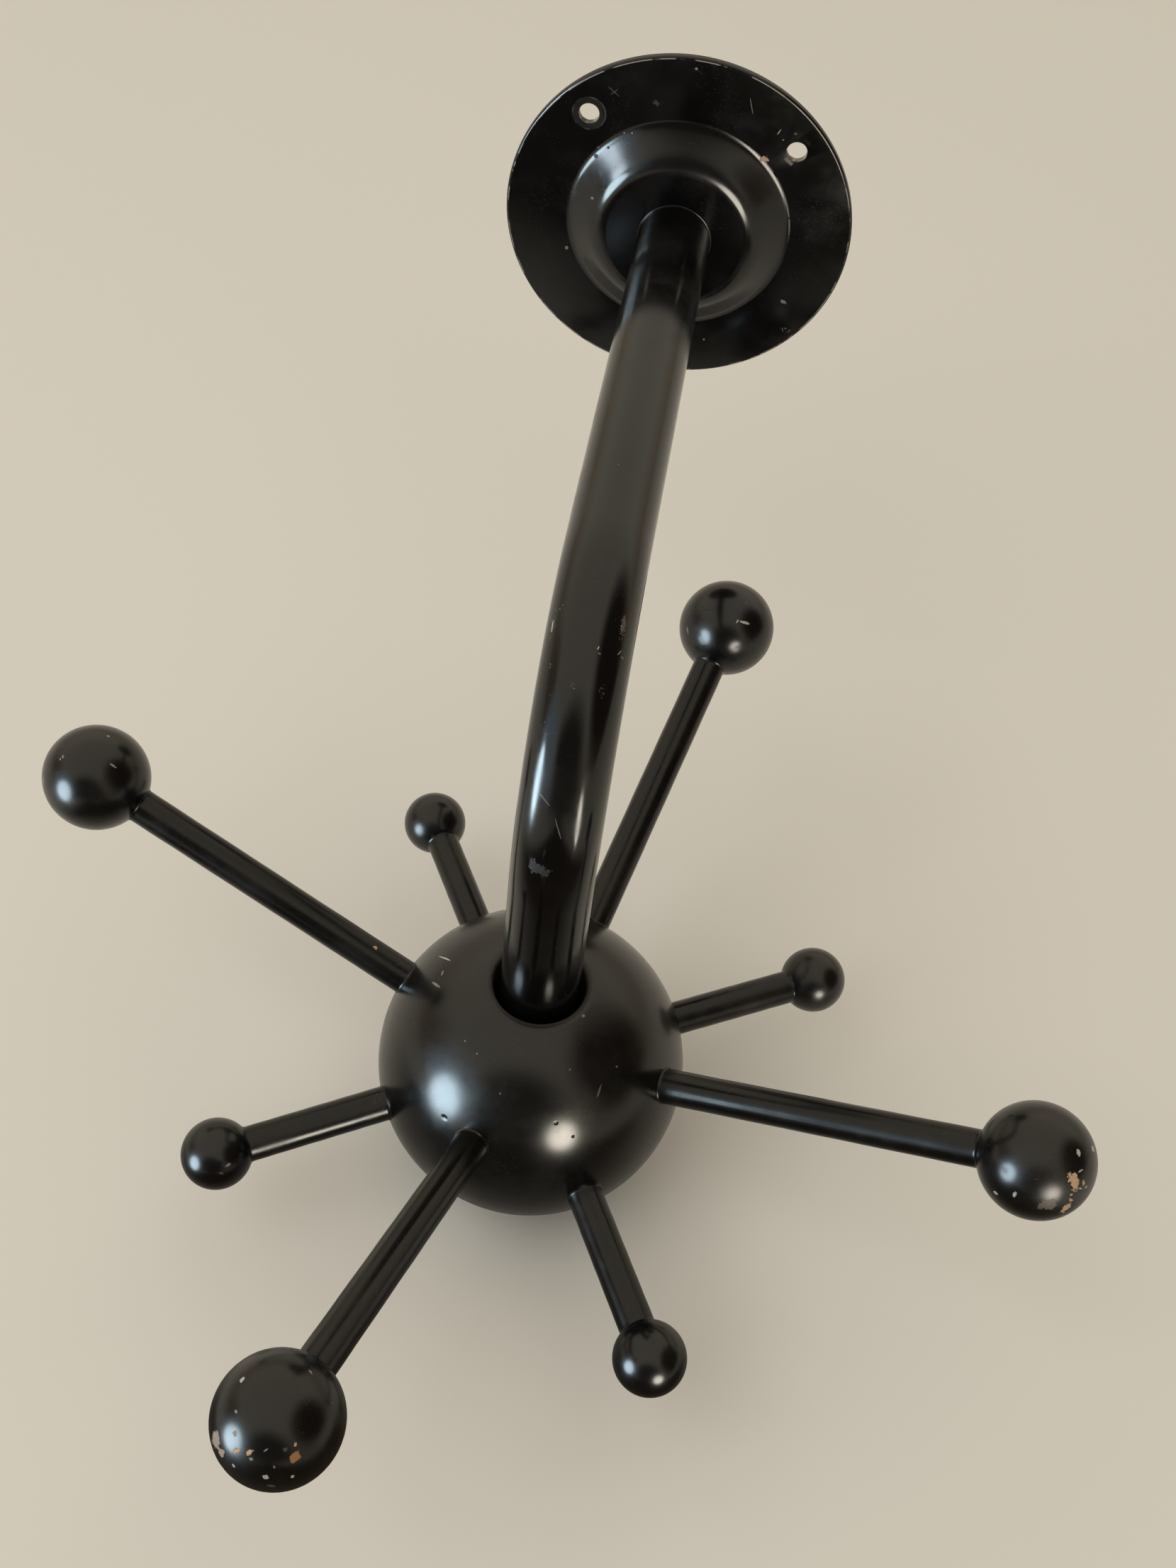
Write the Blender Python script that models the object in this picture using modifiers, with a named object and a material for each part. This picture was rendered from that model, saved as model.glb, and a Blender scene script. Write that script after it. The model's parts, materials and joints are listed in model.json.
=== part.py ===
"""Wall coat rack: a round wall flange, a bent tube arm, and a ball hub with eight pegs that turns on its end.

Metres, +Z up. The origin is the middle of the flange's back, on the wall's plane, and the arm stands out
towards -Y.
"""

from math import asin, cos, pi, radians, sin, sqrt

import bmesh
import bpy
from mathutils import Vector

# Gap between pieces that touch, and how far a cutter runs past what it cuts
GAP = 0.0003
OVERRUN = 0.004

# Wall flange, pressed from sheet steel with a raised middle
FLANGE_DIAMETER = 0.106
FLANGE_SHEET = 0.002
FLANGE_EDGE_ROUND = 0.0008
DOME_DIAMETER = 0.0684
DOME_HEIGHT = 0.0095
PLATEAU_DIAMETER = 0.042
SCREW_HOLE_DIAMETER = 0.006

# The three screw holes round the flange, which was turned a little on its weld
FLANGE_TURN = radians(-1.6)
SCREW_HOLE_ANGLES = [FLANGE_TURN + radians(angle) for angle in (45, 135, -90)]

# The dome from its foot in to the plateau: shares of its width, and of its height above the rim
DOME_SHARES = (
    (0.0, 0.0),
    (0.08, 0.036),
    (0.16, 0.117),
    (0.38, 0.41),
    (0.61, 0.735),
    (0.71, 0.85),
    (0.80, 0.927),
    (0.90, 0.98),
    (1.0, 1.0),
)

# Arm, a tube with one right angle bend, its tail welded in the flange's plateau
TUBE_DIAMETER = 0.022
TUBE_WALL = 0.002
TUBE_TAIL_SHARE = 0.4
ARM_REACH = 0.2095
ARM_DROP = 0.151
BEND_RADIUS = 0.060

# Hub, a ball with a bore for the tube, a web that carries it and a recess for the bolt's head
HUB_DIAMETER = 0.090
HUB_BORE_CLEARANCE = 0.002
HUB_BORE_CHAMFER = 0.0012
WEB_TOP_DROP = 0.012
WEB_THICKNESS = 0.018
RECESS_CLEARANCE = 0.002

# Swivel: a plug in the tube's end, a bolt up into it, two washers, and a bush in the hub's web
PLUG_LENGTH = 0.020
BOLT_DIAMETER = 0.008
BOLT_END_SETBACK = 0.002
BOLT_HEAD_LIP = 0.0025
BOLT_HEAD_HEIGHT = 0.008
HEX_SOCKET_WIDTH = 0.006
HEX_SOCKET_DEPTH = 0.004
BUSH_WALL = 0.0017
WASHER_THICKNESS = 0.0016
THRUST_WASHER_CLEARANCE = 0.00175
HEAD_WASHER_LIP = 0.0045

# Pegs: turned balls on round rods, long ones that rise, and short ones about level between them
PEGS_OF_EACH_LENGTH = 4
FIRST_LONG_PEG_ANGLE = radians(74.6)
ROD_DIAMETER = 0.010
ROD_SEAT_DEPTH = 0.017
LONG_PEG_LENGTH = 0.150
LONG_PEG_RISE = radians(23)
SHORT_PEG_LENGTH = 0.094
SHORT_PEG_RISE = radians(-1)
LARGE_BALL_DIAMETER = 0.030
SMALL_BALL_DIAMETER = 0.020
ROD_PAST_BALL_CENTRE_SHARE = 0.1

# How far a peg was drilled round from its even place
TURNED_OFF_PLACE = {"long_rod_2": radians(2.2)}

# How many flats make each round shape
FLANGE_STEPS = 40
HUB_STEPS = 40
HUB_ARC_STEPS = 18
BALL_STEPS = 20
BALL_ARC_STEPS = 10
ROUND_STEPS = 20
EDGE_ARC_STEPS = 3
BEND_STEPS = 14
MERGE_SHARE = 0.01
SHARP_ANGLE = radians(35)

# Colour, roughness and metallic value of each finish
FINISHES = {
    "flange_enamel": ((0.011, 0.010, 0.010), 0.16, 0),
    "tube_enamel": ((0.010, 0.010, 0.010), 0.12, 0),
    "hub_paint": ((0.014, 0.013, 0.012), 0.32, 0),
    "long_rod_paint": ((0.012, 0.011, 0.010), 0.28, 0),
    "short_rod_paint": ((0.012, 0.011, 0.010), 0.28, 0),
    "large_ball_paint": ((0.010, 0.009, 0.009), 0.14, 0),
    "small_ball_paint": ((0.010, 0.009, 0.009), 0.14, 0),
    "plug_steel": ((0.42, 0.42, 0.41), 0.45, 1),
    "washer_steel": ((0.42, 0.42, 0.41), 0.40, 1),
    "bolt_steel": ((0.10, 0.10, 0.10), 0.40, 1),
    "washer_brass": ((0.60, 0.42, 0.16), 0.40, 1),
    "bush_brass": ((0.60, 0.42, 0.16), 0.35, 1),
}

# Radii worked out from the sizes above
MERGE = GAP * MERGE_SHARE
TUBE_RADIUS = TUBE_DIAMETER / 2
TUBE_BORE_RADIUS = TUBE_RADIUS - TUBE_WALL
HUB_RADIUS = HUB_DIAMETER / 2
HUB_BORE_RADIUS = TUBE_RADIUS + HUB_BORE_CLEARANCE
BOLT_RADIUS = BOLT_DIAMETER / 2
BOLT_HOLE_RADIUS = BOLT_RADIUS + GAP
BOLT_HEAD_RADIUS = BOLT_RADIUS + BOLT_HEAD_LIP
BUSH_RADIUS = BOLT_HOLE_RADIUS + BUSH_WALL
THRUST_WASHER_RADIUS = HUB_BORE_RADIUS - THRUST_WASHER_CLEARANCE
HEAD_WASHER_RADIUS = BOLT_HEAD_RADIUS + HEAD_WASHER_LIP
RECESS_RADIUS = HEAD_WASHER_RADIUS + RECESS_CLEARANCE
ROD_HOLE_RADIUS = ROD_DIAMETER / 2 + GAP

# Heights of the swivel's pieces, from the hub's centre
WEB_TOP = -WEB_TOP_DROP
WEB_FOOT = WEB_TOP - WEB_THICKNESS
THRUST_WASHER_FOOT = WEB_TOP + GAP
THRUST_WASHER_TOP = THRUST_WASHER_FOOT + WASHER_THICKNESS
TUBE_END = THRUST_WASHER_TOP + GAP
PLUG_TOP = TUBE_END + PLUG_LENGTH
HEAD_WASHER_TOP = WEB_FOOT - GAP
HEAD_WASHER_FOOT = HEAD_WASHER_TOP - WASHER_THICKNESS
BOLT_HEAD_TOP = HEAD_WASHER_FOOT - GAP
BOLT_HEAD_FOOT = BOLT_HEAD_TOP - BOLT_HEAD_HEIGHT
BOLT_END = PLUG_TOP - BOLT_END_SETBACK

HUB_CENTRE = Vector((0, -ARM_REACH, -ARM_DROP))


def clear_scene():
    for obj in list(bpy.data.objects):
        bpy.data.objects.remove(obj, do_unlink=True)


def new_collection(name):
    collection = bpy.data.collections.new(name)
    bpy.context.scene.collection.children.link(collection)
    return collection


def new_empty(name, collection, place=(0, 0, 0), turn=(0, 0, 0)):
    empty = bpy.data.objects.new(name, None)
    empty.location = place
    empty.rotation_euler = turn
    collection.objects.link(empty)
    return empty


def finish_material(name):
    """The material of this name, made the first time that it is asked for."""
    if name in bpy.data.materials:
        return bpy.data.materials[name]
    colour, roughness, metallic = FINISHES[name]
    made = bpy.data.materials.new(name)
    made.use_nodes = True
    made.diffuse_color = (*colour, 1)
    shader = made.node_tree.nodes["Principled BSDF"]
    shader.inputs["Base Color"].default_value = (*colour, 1)
    shader.inputs["Roughness"].default_value = roughness
    shader.inputs["Metallic"].default_value = metallic
    return made


def arc(centre, radius, start, end, steps):
    """(radius, height) points round a centre, from one angle above the level to another."""
    angles = [start + (end - start) * i / steps for i in range(steps + 1)]
    return [(centre[0] + radius * cos(a), centre[1] + radius * sin(a)) for a in angles]


def turned(name, profile, steps, closed=True):
    """A profile of (radius, height) points turned round its own Z."""
    count = len(profile)
    edges = [(i, (i + 1) % count) for i in range(count if closed else count - 1)]
    mesh = bpy.data.meshes.new(name)
    mesh.from_pydata([(radius, 0, height) for radius, height in profile], edges, [])
    obj = bpy.data.objects.new(name, mesh)
    screw = obj.modifiers.new("turn", "SCREW")
    screw.steps = steps
    screw.render_steps = steps
    screw.use_merge_vertices = True
    screw.merge_threshold = MERGE
    return obj


def ring(name, inner_radius, outer_radius, foot, top):
    """A washer, bush or plug round Z, between two heights."""
    profile = [
        (inner_radius, top),
        (outer_radius, top),
        (outer_radius, foot),
        (inner_radius, foot),
    ]
    return turned(name, profile, ROUND_STEPS)


def prism_mesh(name, radius, foot, top, sides=ROUND_STEPS):
    """A rod along Z between two heights."""
    mesh = bpy.data.meshes.new(name)
    shape = bmesh.new()
    bmesh.ops.create_cone(
        shape, cap_ends=True, segments=sides, radius1=radius, radius2=radius, depth=top - foot
    )
    bmesh.ops.translate(shape, verts=shape.verts, vec=(0, 0, (foot + top) / 2))
    shape.to_mesh(mesh)
    shape.free()
    return mesh


def cut(obj, cutter, cutters):
    """Takes the cutter out of the object, and leaves the cutter in its collection, unrendered."""
    cutters.objects.link(cutter)
    cutter.hide_render = True
    cutter.display_type = "WIRE"
    boolean = obj.modifiers.new(cutter.name, "BOOLEAN")
    boolean.operation = "DIFFERENCE"
    boolean.solver = "EXACT"
    boolean.object = cutter


def smoothed(mesh, finish_name):
    """The mesh shaded smooth up to its sharp edges, with its one material."""
    mesh.shade_smooth()
    mesh.set_sharp_from_angle(angle=SHARP_ANGLE)
    mesh.materials.clear()
    mesh.materials.append(finish_material(finish_name))
    return mesh


def worked_mesh(obj):
    """A new mesh of the object with its modifiers worked in."""
    bpy.context.view_layer.update()
    return bpy.data.meshes.new_from_object(obj.evaluated_get(bpy.context.evaluated_depsgraph_get()))


def finish(obj, finish_name):
    """Works the object's modifiers into its mesh, and gives it its finish."""
    mesh = smoothed(worked_mesh(obj), finish_name)
    mesh.name = obj.name
    obj.modifiers.clear()
    obj.data = mesh


def flange_profile():
    """Half section of the pressed plate: out over its front, round its rim and back in behind."""
    foot_radius = DOME_DIAMETER / 2
    width = foot_radius - PLATEAU_DIAMETER / 2
    rise = DOME_HEIGHT - FLANGE_SHEET
    back = [(foot_radius - width * across, rise * up) for across, up in DOME_SHARES]
    front = [(radius, height + FLANGE_SHEET) for radius, height in reversed(back)]
    hole_radius = TUBE_RADIUS + GAP
    rim_radius = FLANGE_DIAMETER / 2
    edge_centre = (rim_radius - FLANGE_EDGE_ROUND, FLANGE_SHEET - FLANGE_EDGE_ROUND)
    edge = arc(edge_centre, FLANGE_EDGE_ROUND, pi / 2, 0, EDGE_ARC_STEPS)
    return [(hole_radius, DOME_HEIGHT)] + front + edge + [(rim_radius, 0)] + back + [(hole_radius, rise)]


def make_flange(parts, cutters):
    """The plate, turned to face out from the wall, with a screw hole at each angle from its right side."""
    wall_turn = new_empty("wall_turn", parts, turn=(pi / 2, 0, 0))
    flange = turned("wall_flange", flange_profile(), FLANGE_STEPS)
    parts.objects.link(flange)
    flange.parent = wall_turn
    middle_of_rim = (FLANGE_DIAMETER + DOME_DIAMETER) / 4
    hole = prism_mesh("screw_hole", SCREW_HOLE_DIAMETER / 2, -OVERRUN, FLANGE_SHEET + OVERRUN)
    for number, angle in enumerate(SCREW_HOLE_ANGLES, 1):
        cutter = bpy.data.objects.new(f"screw_hole_{number}", hole)
        cutter.parent = wall_turn
        cutter.location = (middle_of_rim * cos(angle), middle_of_rim * sin(angle), 0)
        cut(flange, cutter, cutters)
    finish(flange, "flange_enamel")


def arm_points():
    """The tube's middle line, from inside the flange's dome, round the bend, to its end in the hub."""
    hollow = DOME_HEIGHT - FLANGE_SHEET
    points = [Vector((0, -hollow * (1 - TUBE_TAIL_SHARE), 0))]
    for i in range(BEND_STEPS + 1):
        angle = pi / 2 * i / BEND_STEPS
        out = ARM_REACH - BEND_RADIUS * (1 - sin(angle))
        down = BEND_RADIUS * (1 - cos(angle))
        points.append(Vector((0, -out, -down)))
    points.append(HUB_CENTRE + Vector((0, 0, TUBE_END)))
    return points


def make_arm(parts):
    """The tube: an open skin from a bevelled curve, with its wall added inwards."""
    points = arm_points()
    curve = bpy.data.curves.new("arm_line", "CURVE")
    curve.dimensions = "3D"
    curve.bevel_depth = TUBE_RADIUS
    curve.bevel_resolution = ROUND_STEPS // 2 - 2
    line = curve.splines.new("POLY")
    line.points.add(len(points) - 1)
    for point, place in zip(line.points, points):
        point.co = (*place, 1)
    guide = bpy.data.objects.new("arm_line", curve)
    parts.objects.link(guide)
    arm = bpy.data.objects.new("arm_tube", worked_mesh(guide))
    bpy.data.objects.remove(guide, do_unlink=True)
    parts.objects.link(arm)
    wall = arm.modifiers.new("wall", "SOLIDIFY")
    wall.thickness = TUBE_WALL
    wall.offset = -1
    wall.use_even_offset = True
    finish(arm, "tube_enamel")


def make_bolt(hub_place, cutters):
    """The socket head bolt, its head at the foot and its shank up through the web into the plug."""
    profile = [
        (0, BOLT_END),
        (BOLT_RADIUS, BOLT_END),
        (BOLT_RADIUS, BOLT_HEAD_TOP),
        (BOLT_HEAD_RADIUS, BOLT_HEAD_TOP),
        (BOLT_HEAD_RADIUS, BOLT_HEAD_FOOT),
        (0, BOLT_HEAD_FOOT),
    ]
    bolt = turned("pivot_bolt", profile, ROUND_STEPS, closed=False)
    corner_radius = HEX_SOCKET_WIDTH / sqrt(3)
    socket_foot = BOLT_HEAD_FOOT - OVERRUN
    socket_top = BOLT_HEAD_FOOT + HEX_SOCKET_DEPTH
    socket = prism_mesh("hex_socket", corner_radius, socket_foot, socket_top, sides=6)
    cutter = bpy.data.objects.new("hex_socket", socket)
    cutter.parent = hub_place
    cut(bolt, cutter, cutters)
    return bolt


def make_swivel(parts, cutters):
    """The pieces in the hub that stay with the arm."""
    hub_place = new_empty("hub_place", parts, place=HUB_CENTRE)
    plug = ring("end_plug", BOLT_HOLE_RADIUS, TUBE_BORE_RADIUS - GAP, TUBE_END, PLUG_TOP)
    thrust_washer = ring(
        "thrust_washer", BOLT_HOLE_RADIUS, THRUST_WASHER_RADIUS, THRUST_WASHER_FOOT, THRUST_WASHER_TOP
    )
    head_washer = ring(
        "head_washer", BOLT_HOLE_RADIUS, HEAD_WASHER_RADIUS, HEAD_WASHER_FOOT, HEAD_WASHER_TOP
    )
    finishes = {
        plug: "plug_steel",
        thrust_washer: "washer_brass",
        head_washer: "washer_steel",
        make_bolt(hub_place, cutters): "bolt_steel",
    }
    for piece, finish_name in finishes.items():
        parts.objects.link(piece)
        piece.parent = hub_place
        finish(piece, finish_name)


def hub_profile():
    """Half section of the hub: down over the ball, up its recess, in over its web and up its bore."""
    bore_angle = asin((HUB_BORE_RADIUS + HUB_BORE_CHAMFER) / HUB_RADIUS)
    recess_angle = asin(RECESS_RADIUS / HUB_RADIUS)
    outside = arc((0, 0), HUB_RADIUS, pi / 2 - bore_angle, recess_angle - pi / 2, HUB_ARC_STEPS)
    inside = [
        (RECESS_RADIUS, WEB_FOOT),
        (BUSH_RADIUS + GAP, WEB_FOOT),
        (BUSH_RADIUS + GAP, WEB_TOP),
        (HUB_BORE_RADIUS, WEB_TOP),
        (HUB_BORE_RADIUS, HUB_RADIUS * cos(bore_angle) - HUB_BORE_CHAMFER),
    ]
    return outside + inside


def ball_mesh(name, diameter):
    """A ball round its peg's Z, with the blind hole for the rod from below."""
    radius = diameter / 2
    hole_angle = asin(ROD_HOLE_RADIUS / radius)
    hole_end = diameter * ROD_PAST_BALL_CENTRE_SHARE + GAP
    outside = arc((0, 0), radius, pi / 2, hole_angle - pi / 2, BALL_ARC_STEPS)
    outside[0] = (0, radius)
    pattern = turned(name, outside + [(ROD_HOLE_RADIUS, hole_end), (0, hole_end)], BALL_STEPS, closed=False)
    bpy.context.scene.collection.objects.link(pattern)
    mesh = smoothed(worked_mesh(pattern), f"{name}_paint")
    bpy.data.objects.remove(pattern, do_unlink=True)
    return mesh


def stand_on_peg(piece, direction, hub_turn):
    """Turns a piece's own Z along its peg, out from the hub's centre."""
    piece.parent = hub_turn
    piece.rotation_euler = direction.to_track_quat("Z", "Y").to_euler()


def make_pegs(rod_name, ball_name, length, rise, first_angle, ball_diameter):
    """A turn of pegs as (rods, balls, directions): rods seated in the hub, each with a ball on its end."""
    foot = HUB_RADIUS - ROD_SEAT_DEPTH
    end = length + ball_diameter * ROD_PAST_BALL_CENTRE_SHARE
    rod_mesh = smoothed(prism_mesh(rod_name, ROD_DIAMETER / 2, foot, end), f"{rod_name}_paint")
    mesh_of_ball = ball_mesh(ball_name, ball_diameter)
    rods, balls, directions = [], [], []
    for i in range(PEGS_OF_EACH_LENGTH):
        rod = bpy.data.objects.new(f"{rod_name}_{i + 1}", rod_mesh)
        angle = first_angle + 2 * pi * i / PEGS_OF_EACH_LENGTH + TURNED_OFF_PLACE.get(rod.name, 0)
        direction = Vector((cos(angle) * cos(rise), sin(angle) * cos(rise), sin(rise)))
        ball = bpy.data.objects.new(f"{ball_name}_{i + 1}", mesh_of_ball)
        ball.location = direction * length
        rods.append(rod)
        balls.append(ball)
        directions.append(direction)
    return rods, balls, directions


def make_head(parts, cutters):
    """What turns on the bolt: the hub with its bush, and the pegs that stand in it."""
    hub_turn = new_empty("hub_turn", parts, place=HUB_CENTRE)
    bush = ring("pivot_bush", BOLT_HOLE_RADIUS, BUSH_RADIUS, WEB_FOOT, WEB_TOP)
    hub = turned("hub_ball", hub_profile(), HUB_STEPS)
    for piece in (bush, hub):
        parts.objects.link(piece)
        piece.parent = hub_turn
    between = FIRST_LONG_PEG_ANGLE + pi / PEGS_OF_EACH_LENGTH
    turns_of_pegs = (
        ("long_rod", "large_ball", LONG_PEG_LENGTH, LONG_PEG_RISE, FIRST_LONG_PEG_ANGLE, LARGE_BALL_DIAMETER),
        ("short_rod", "small_ball", SHORT_PEG_LENGTH, SHORT_PEG_RISE, between, SMALL_BALL_DIAMETER),
    )
    seat = prism_mesh("rod_seat", ROD_HOLE_RADIUS, HUB_RADIUS - ROD_SEAT_DEPTH - GAP, HUB_RADIUS + OVERRUN)
    for turn_of_pegs in turns_of_pegs:
        for rod, ball, direction in zip(*make_pegs(*turn_of_pegs)):
            cutter = bpy.data.objects.new(f"{rod.name}_seat", seat)
            for piece in (rod, ball, cutter):
                stand_on_peg(piece, direction, hub_turn)
            parts.objects.link(rod)
            parts.objects.link(ball)
            cut(hub, cutter, cutters)
    finish(bush, "bush_brass")
    finish(hub, "hub_paint")


def main():
    clear_scene()
    parts = new_collection("wall_coat_rack")
    cutters = new_collection("cutters")
    make_flange(parts, cutters)
    make_arm(parts)
    make_swivel(parts, cutters)
    make_head(parts, cutters)


main()
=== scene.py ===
"""Looks of the wall coat rack: worn black enamel on its steel, black paint on its hub, pegs and knobs."""

import json
from collections import namedtuple
from math import asin, cos, pi, radians, sin, sqrt

import bmesh
import bpy
from mathutils import Matrix, Vector


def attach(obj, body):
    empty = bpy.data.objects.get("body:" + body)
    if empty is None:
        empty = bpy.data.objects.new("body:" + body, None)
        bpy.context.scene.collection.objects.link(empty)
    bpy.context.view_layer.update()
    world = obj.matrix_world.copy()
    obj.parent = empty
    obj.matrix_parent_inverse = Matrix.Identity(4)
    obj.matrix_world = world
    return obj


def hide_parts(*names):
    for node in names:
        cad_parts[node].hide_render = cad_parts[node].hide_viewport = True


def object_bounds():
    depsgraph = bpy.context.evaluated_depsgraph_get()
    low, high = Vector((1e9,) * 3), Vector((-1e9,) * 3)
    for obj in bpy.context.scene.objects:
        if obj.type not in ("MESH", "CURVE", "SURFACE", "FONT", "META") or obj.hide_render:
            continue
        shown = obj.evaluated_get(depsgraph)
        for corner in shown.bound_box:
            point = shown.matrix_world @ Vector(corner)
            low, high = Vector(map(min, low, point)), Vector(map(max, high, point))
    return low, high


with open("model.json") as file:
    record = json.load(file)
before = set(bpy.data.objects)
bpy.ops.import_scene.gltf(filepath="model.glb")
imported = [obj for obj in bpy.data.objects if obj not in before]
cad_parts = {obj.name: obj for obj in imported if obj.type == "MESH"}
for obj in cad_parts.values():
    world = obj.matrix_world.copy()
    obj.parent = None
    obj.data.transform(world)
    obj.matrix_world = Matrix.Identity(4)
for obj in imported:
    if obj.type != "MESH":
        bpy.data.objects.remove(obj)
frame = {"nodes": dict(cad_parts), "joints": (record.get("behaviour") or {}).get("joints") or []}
cad_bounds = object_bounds()
scene = bpy.context.scene

MM = 0.001
TINY = 1e-6

# Camera: the photograph's size and focal length in pixels, and how the camera stands in the rack's frame
PHOTO_WIDTH = 1659
PHOTO_HEIGHT = 2212
FOCAL_PIXELS = 2353.8
SENSOR_WIDTH = 36
CAMERA_PLACE = Vector((0.01804, -0.45888, 0.28501))
CAMERA_AHEAD = Vector((-0.03088, 0.63344, -0.77318)).normalized()
CAMERA_UP_HINT = Vector((-0.17003, 0.75894, 0.62857))
CAMERA_RIGHT = CAMERA_AHEAD.cross(CAMERA_UP_HINT).normalized()
CAMERA_UP = CAMERA_RIGHT.cross(CAMERA_AHEAD).normalized()

# Flange sizes
FLANGE_RADIUS = 53 * MM
FLANGE_SHEET = 2 * MM
FLANGE_EDGE_ROUND = 0.8 * MM
DOME_RADIUS = 34.2 * MM
DOME_HEIGHT = 9.5 * MM
PLATEAU_RADIUS = 21 * MM
CREASE_EASE = 0.3 * MM
SCREW_HOLE_RADIUS = 3 * MM
SCREW_HOLE_FLARE = 0.1 * MM
SCREW_HOLE_CIRCLE_RADIUS = (FLANGE_RADIUS + DOME_RADIUS) / 2
FLANGE_TURN = radians(-1.6)
SCREW_HOLE_ANGLES = [FLANGE_TURN + radians(angle) for angle in (45, 135, -90)]
CUT_OVERRUN = 4 * MM

# The dome from its foot in to the plateau: shares of its width, and of its height above the rim
DOME_SHARES = (
    (0.08, 0.036),
    (0.16, 0.117),
    (0.38, 0.41),
    (0.61, 0.735),
    (0.71, 0.85),
    (0.80, 0.927),
    (0.90, 0.98),
)

# Tube sizes
TUBE_RADIUS = 11 * MM
TUBE_WALL = 2 * MM
BEND_RADIUS = 60 * MM
TUBE_GAP = 0.3 * MM
TUBE_START_SHARE = 0.6
BEAD_WIDTH = 0.5 * MM
BEAD_HEIGHT = 0.18 * MM
BEAD_SHARES = ((0.25, 0.8), (0.6, 0.55))

# Hub sizes, its heights measured from its centre
HUB_CENTRE = Vector(frame["joints"][0]["pos_m"])
HUB_RADIUS = 45 * MM
HUB_BORE_RADIUS = 13 * MM
BORE_EDGE_ROUND = 1.2 * MM
WEB_TOP = -12 * MM
WEB_FOOT = -30 * MM
WEB_HOLE_RADIUS = 6.3 * MM
RECESS_RADIUS = 13 * MM
TUBE_END = -9.8 * MM

# Pegs and knobs
PEGS_OF_EACH_LENGTH = 4
FIRST_LONG_PEG_ANGLE = radians(74.6)
ROD_RADIUS = 5 * MM
ROD_SEAT = 6 * MM
ROD_SWELL = 0.04 * MM
ROD_SPANS = 12
SWELL_TURN = 2.4
PAINT_FILLET = 0.35 * MM
FILLET_TAPER_SHARE = 0.3
LONG_PEG_LENGTH = 150 * MM
LONG_PEG_RISE = radians(23)
SHORT_PEG_LENGTH = 94 * MM
SHORT_PEG_RISE = radians(-1)
LARGE_KNOB_RADIUS = 15 * MM
SMALL_KNOB_RADIUS = 10 * MM

# How far a peg was drilled round from its even place
TURNED_OFF_PLACE = {"long_peg_2": radians(2.2)}

# How finely round shapes are made
FLANGE_STEPS = 160
TUBE_STEPS = 96
BEND_STEPS = 48
HUB_STEPS = 144
HUB_ARC_STEPS = 72
ROD_STEPS = 48
KNOB_STEPS = 72
KNOB_ARC_STEPS = 36
EDGE_STEPS = 6
FLARE_STEPS = 4
BORE_STEPS = 8
EASE_ROUNDS = 2
CORNER_SHARES = (0.25, 0.75)
SHARP_ANGLE = radians(32)


def part_way(low, high, share):
    return low + (high - low) * share


def arc(centre, radius, start, end, steps):
    """(radius, height) points round a centre, from one angle above the level to another."""
    angles = [part_way(start, end, i / steps) for i in range(steps + 1)]
    return [(centre[0] + radius * cos(a), centre[1] + radius * sin(a)) for a in angles]


def eased(points):
    """The line with its corners cut smaller and smaller, so that it looks smooth."""
    for _ in range(EASE_ROUNDS):
        cut = [points[0]]
        for a, b in zip(points, points[1:]):
            for share in CORNER_SHARES:
                cut.append(tuple(part_way(x, y, share) for x, y in zip(a, b)))
        points = cut + [points[-1]]
    return points


def new_piece(name, shape):
    """A piece of the rack from its bmesh, shaded smooth up to its sharp edges."""
    mesh = bpy.data.meshes.new(name)
    shape.to_mesh(mesh)
    shape.free()
    mesh.shade_smooth()
    mesh.set_sharp_from_angle(angle=SHARP_ANGLE)
    piece = bpy.data.objects.new(name, mesh)
    scene.collection.objects.link(piece)
    return piece


def turned(profile, steps, closed=False):
    """The bmesh of (radius, height) points turned round Z."""
    shape = bmesh.new()
    rings = []
    for radius, height in profile:
        count = 1 if radius < TINY else steps
        angles = [2 * pi * i / steps for i in range(count)]
        rings.append([shape.verts.new((radius * cos(a), radius * sin(a), height)) for a in angles])
    following = rings[1:] + ([rings[0]] if closed else [])
    for ring, beyond in zip(rings, following):
        for i in range(steps):
            corners = [
                ring[i % len(ring)],
                ring[(i + 1) % len(ring)],
                beyond[(i + 1) % len(beyond)],
                beyond[i % len(beyond)],
            ]
            shape.faces.new(list(dict.fromkeys(corners)))
    bmesh.ops.recalc_face_normals(shape, faces=shape.faces)
    return shape


def worked(piece):
    """Works the piece's modifiers into its mesh."""
    bpy.context.view_layer.update()
    mesh = bpy.data.meshes.new_from_object(piece.evaluated_get(bpy.context.evaluated_depsgraph_get()))
    mesh.shade_smooth()
    mesh.set_sharp_from_angle(angle=SHARP_ANGLE)
    piece.modifiers.clear()
    piece.data = mesh
    return piece


def flange_profile():
    """Half section of the pressed plate: out over its front, round its rim and back in behind."""
    width = DOME_RADIUS - PLATEAU_RADIUS
    rise = DOME_HEIGHT - FLANGE_SHEET
    dome = [(DOME_RADIUS - width * across, rise * up) for across, up in DOME_SHARES]
    hole = TUBE_RADIUS + TUBE_GAP
    plateau = [(hole, rise), (PLATEAU_RADIUS - CREASE_EASE, rise), (PLATEAU_RADIUS, rise)]
    foot = [(DOME_RADIUS, 0), (DOME_RADIUS + CREASE_EASE, 0)]
    back = eased(plateau + dome[::-1] + foot)
    front = [(radius, height + FLANGE_SHEET) for radius, height in back]
    edge_centre = (FLANGE_RADIUS - FLANGE_EDGE_ROUND, FLANGE_SHEET - FLANGE_EDGE_ROUND)
    edge = arc(edge_centre, FLANGE_EDGE_ROUND, pi / 2, 0, EDGE_STEPS)
    return front + edge + [(FLANGE_RADIUS, 0)] + back[::-1]


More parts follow.
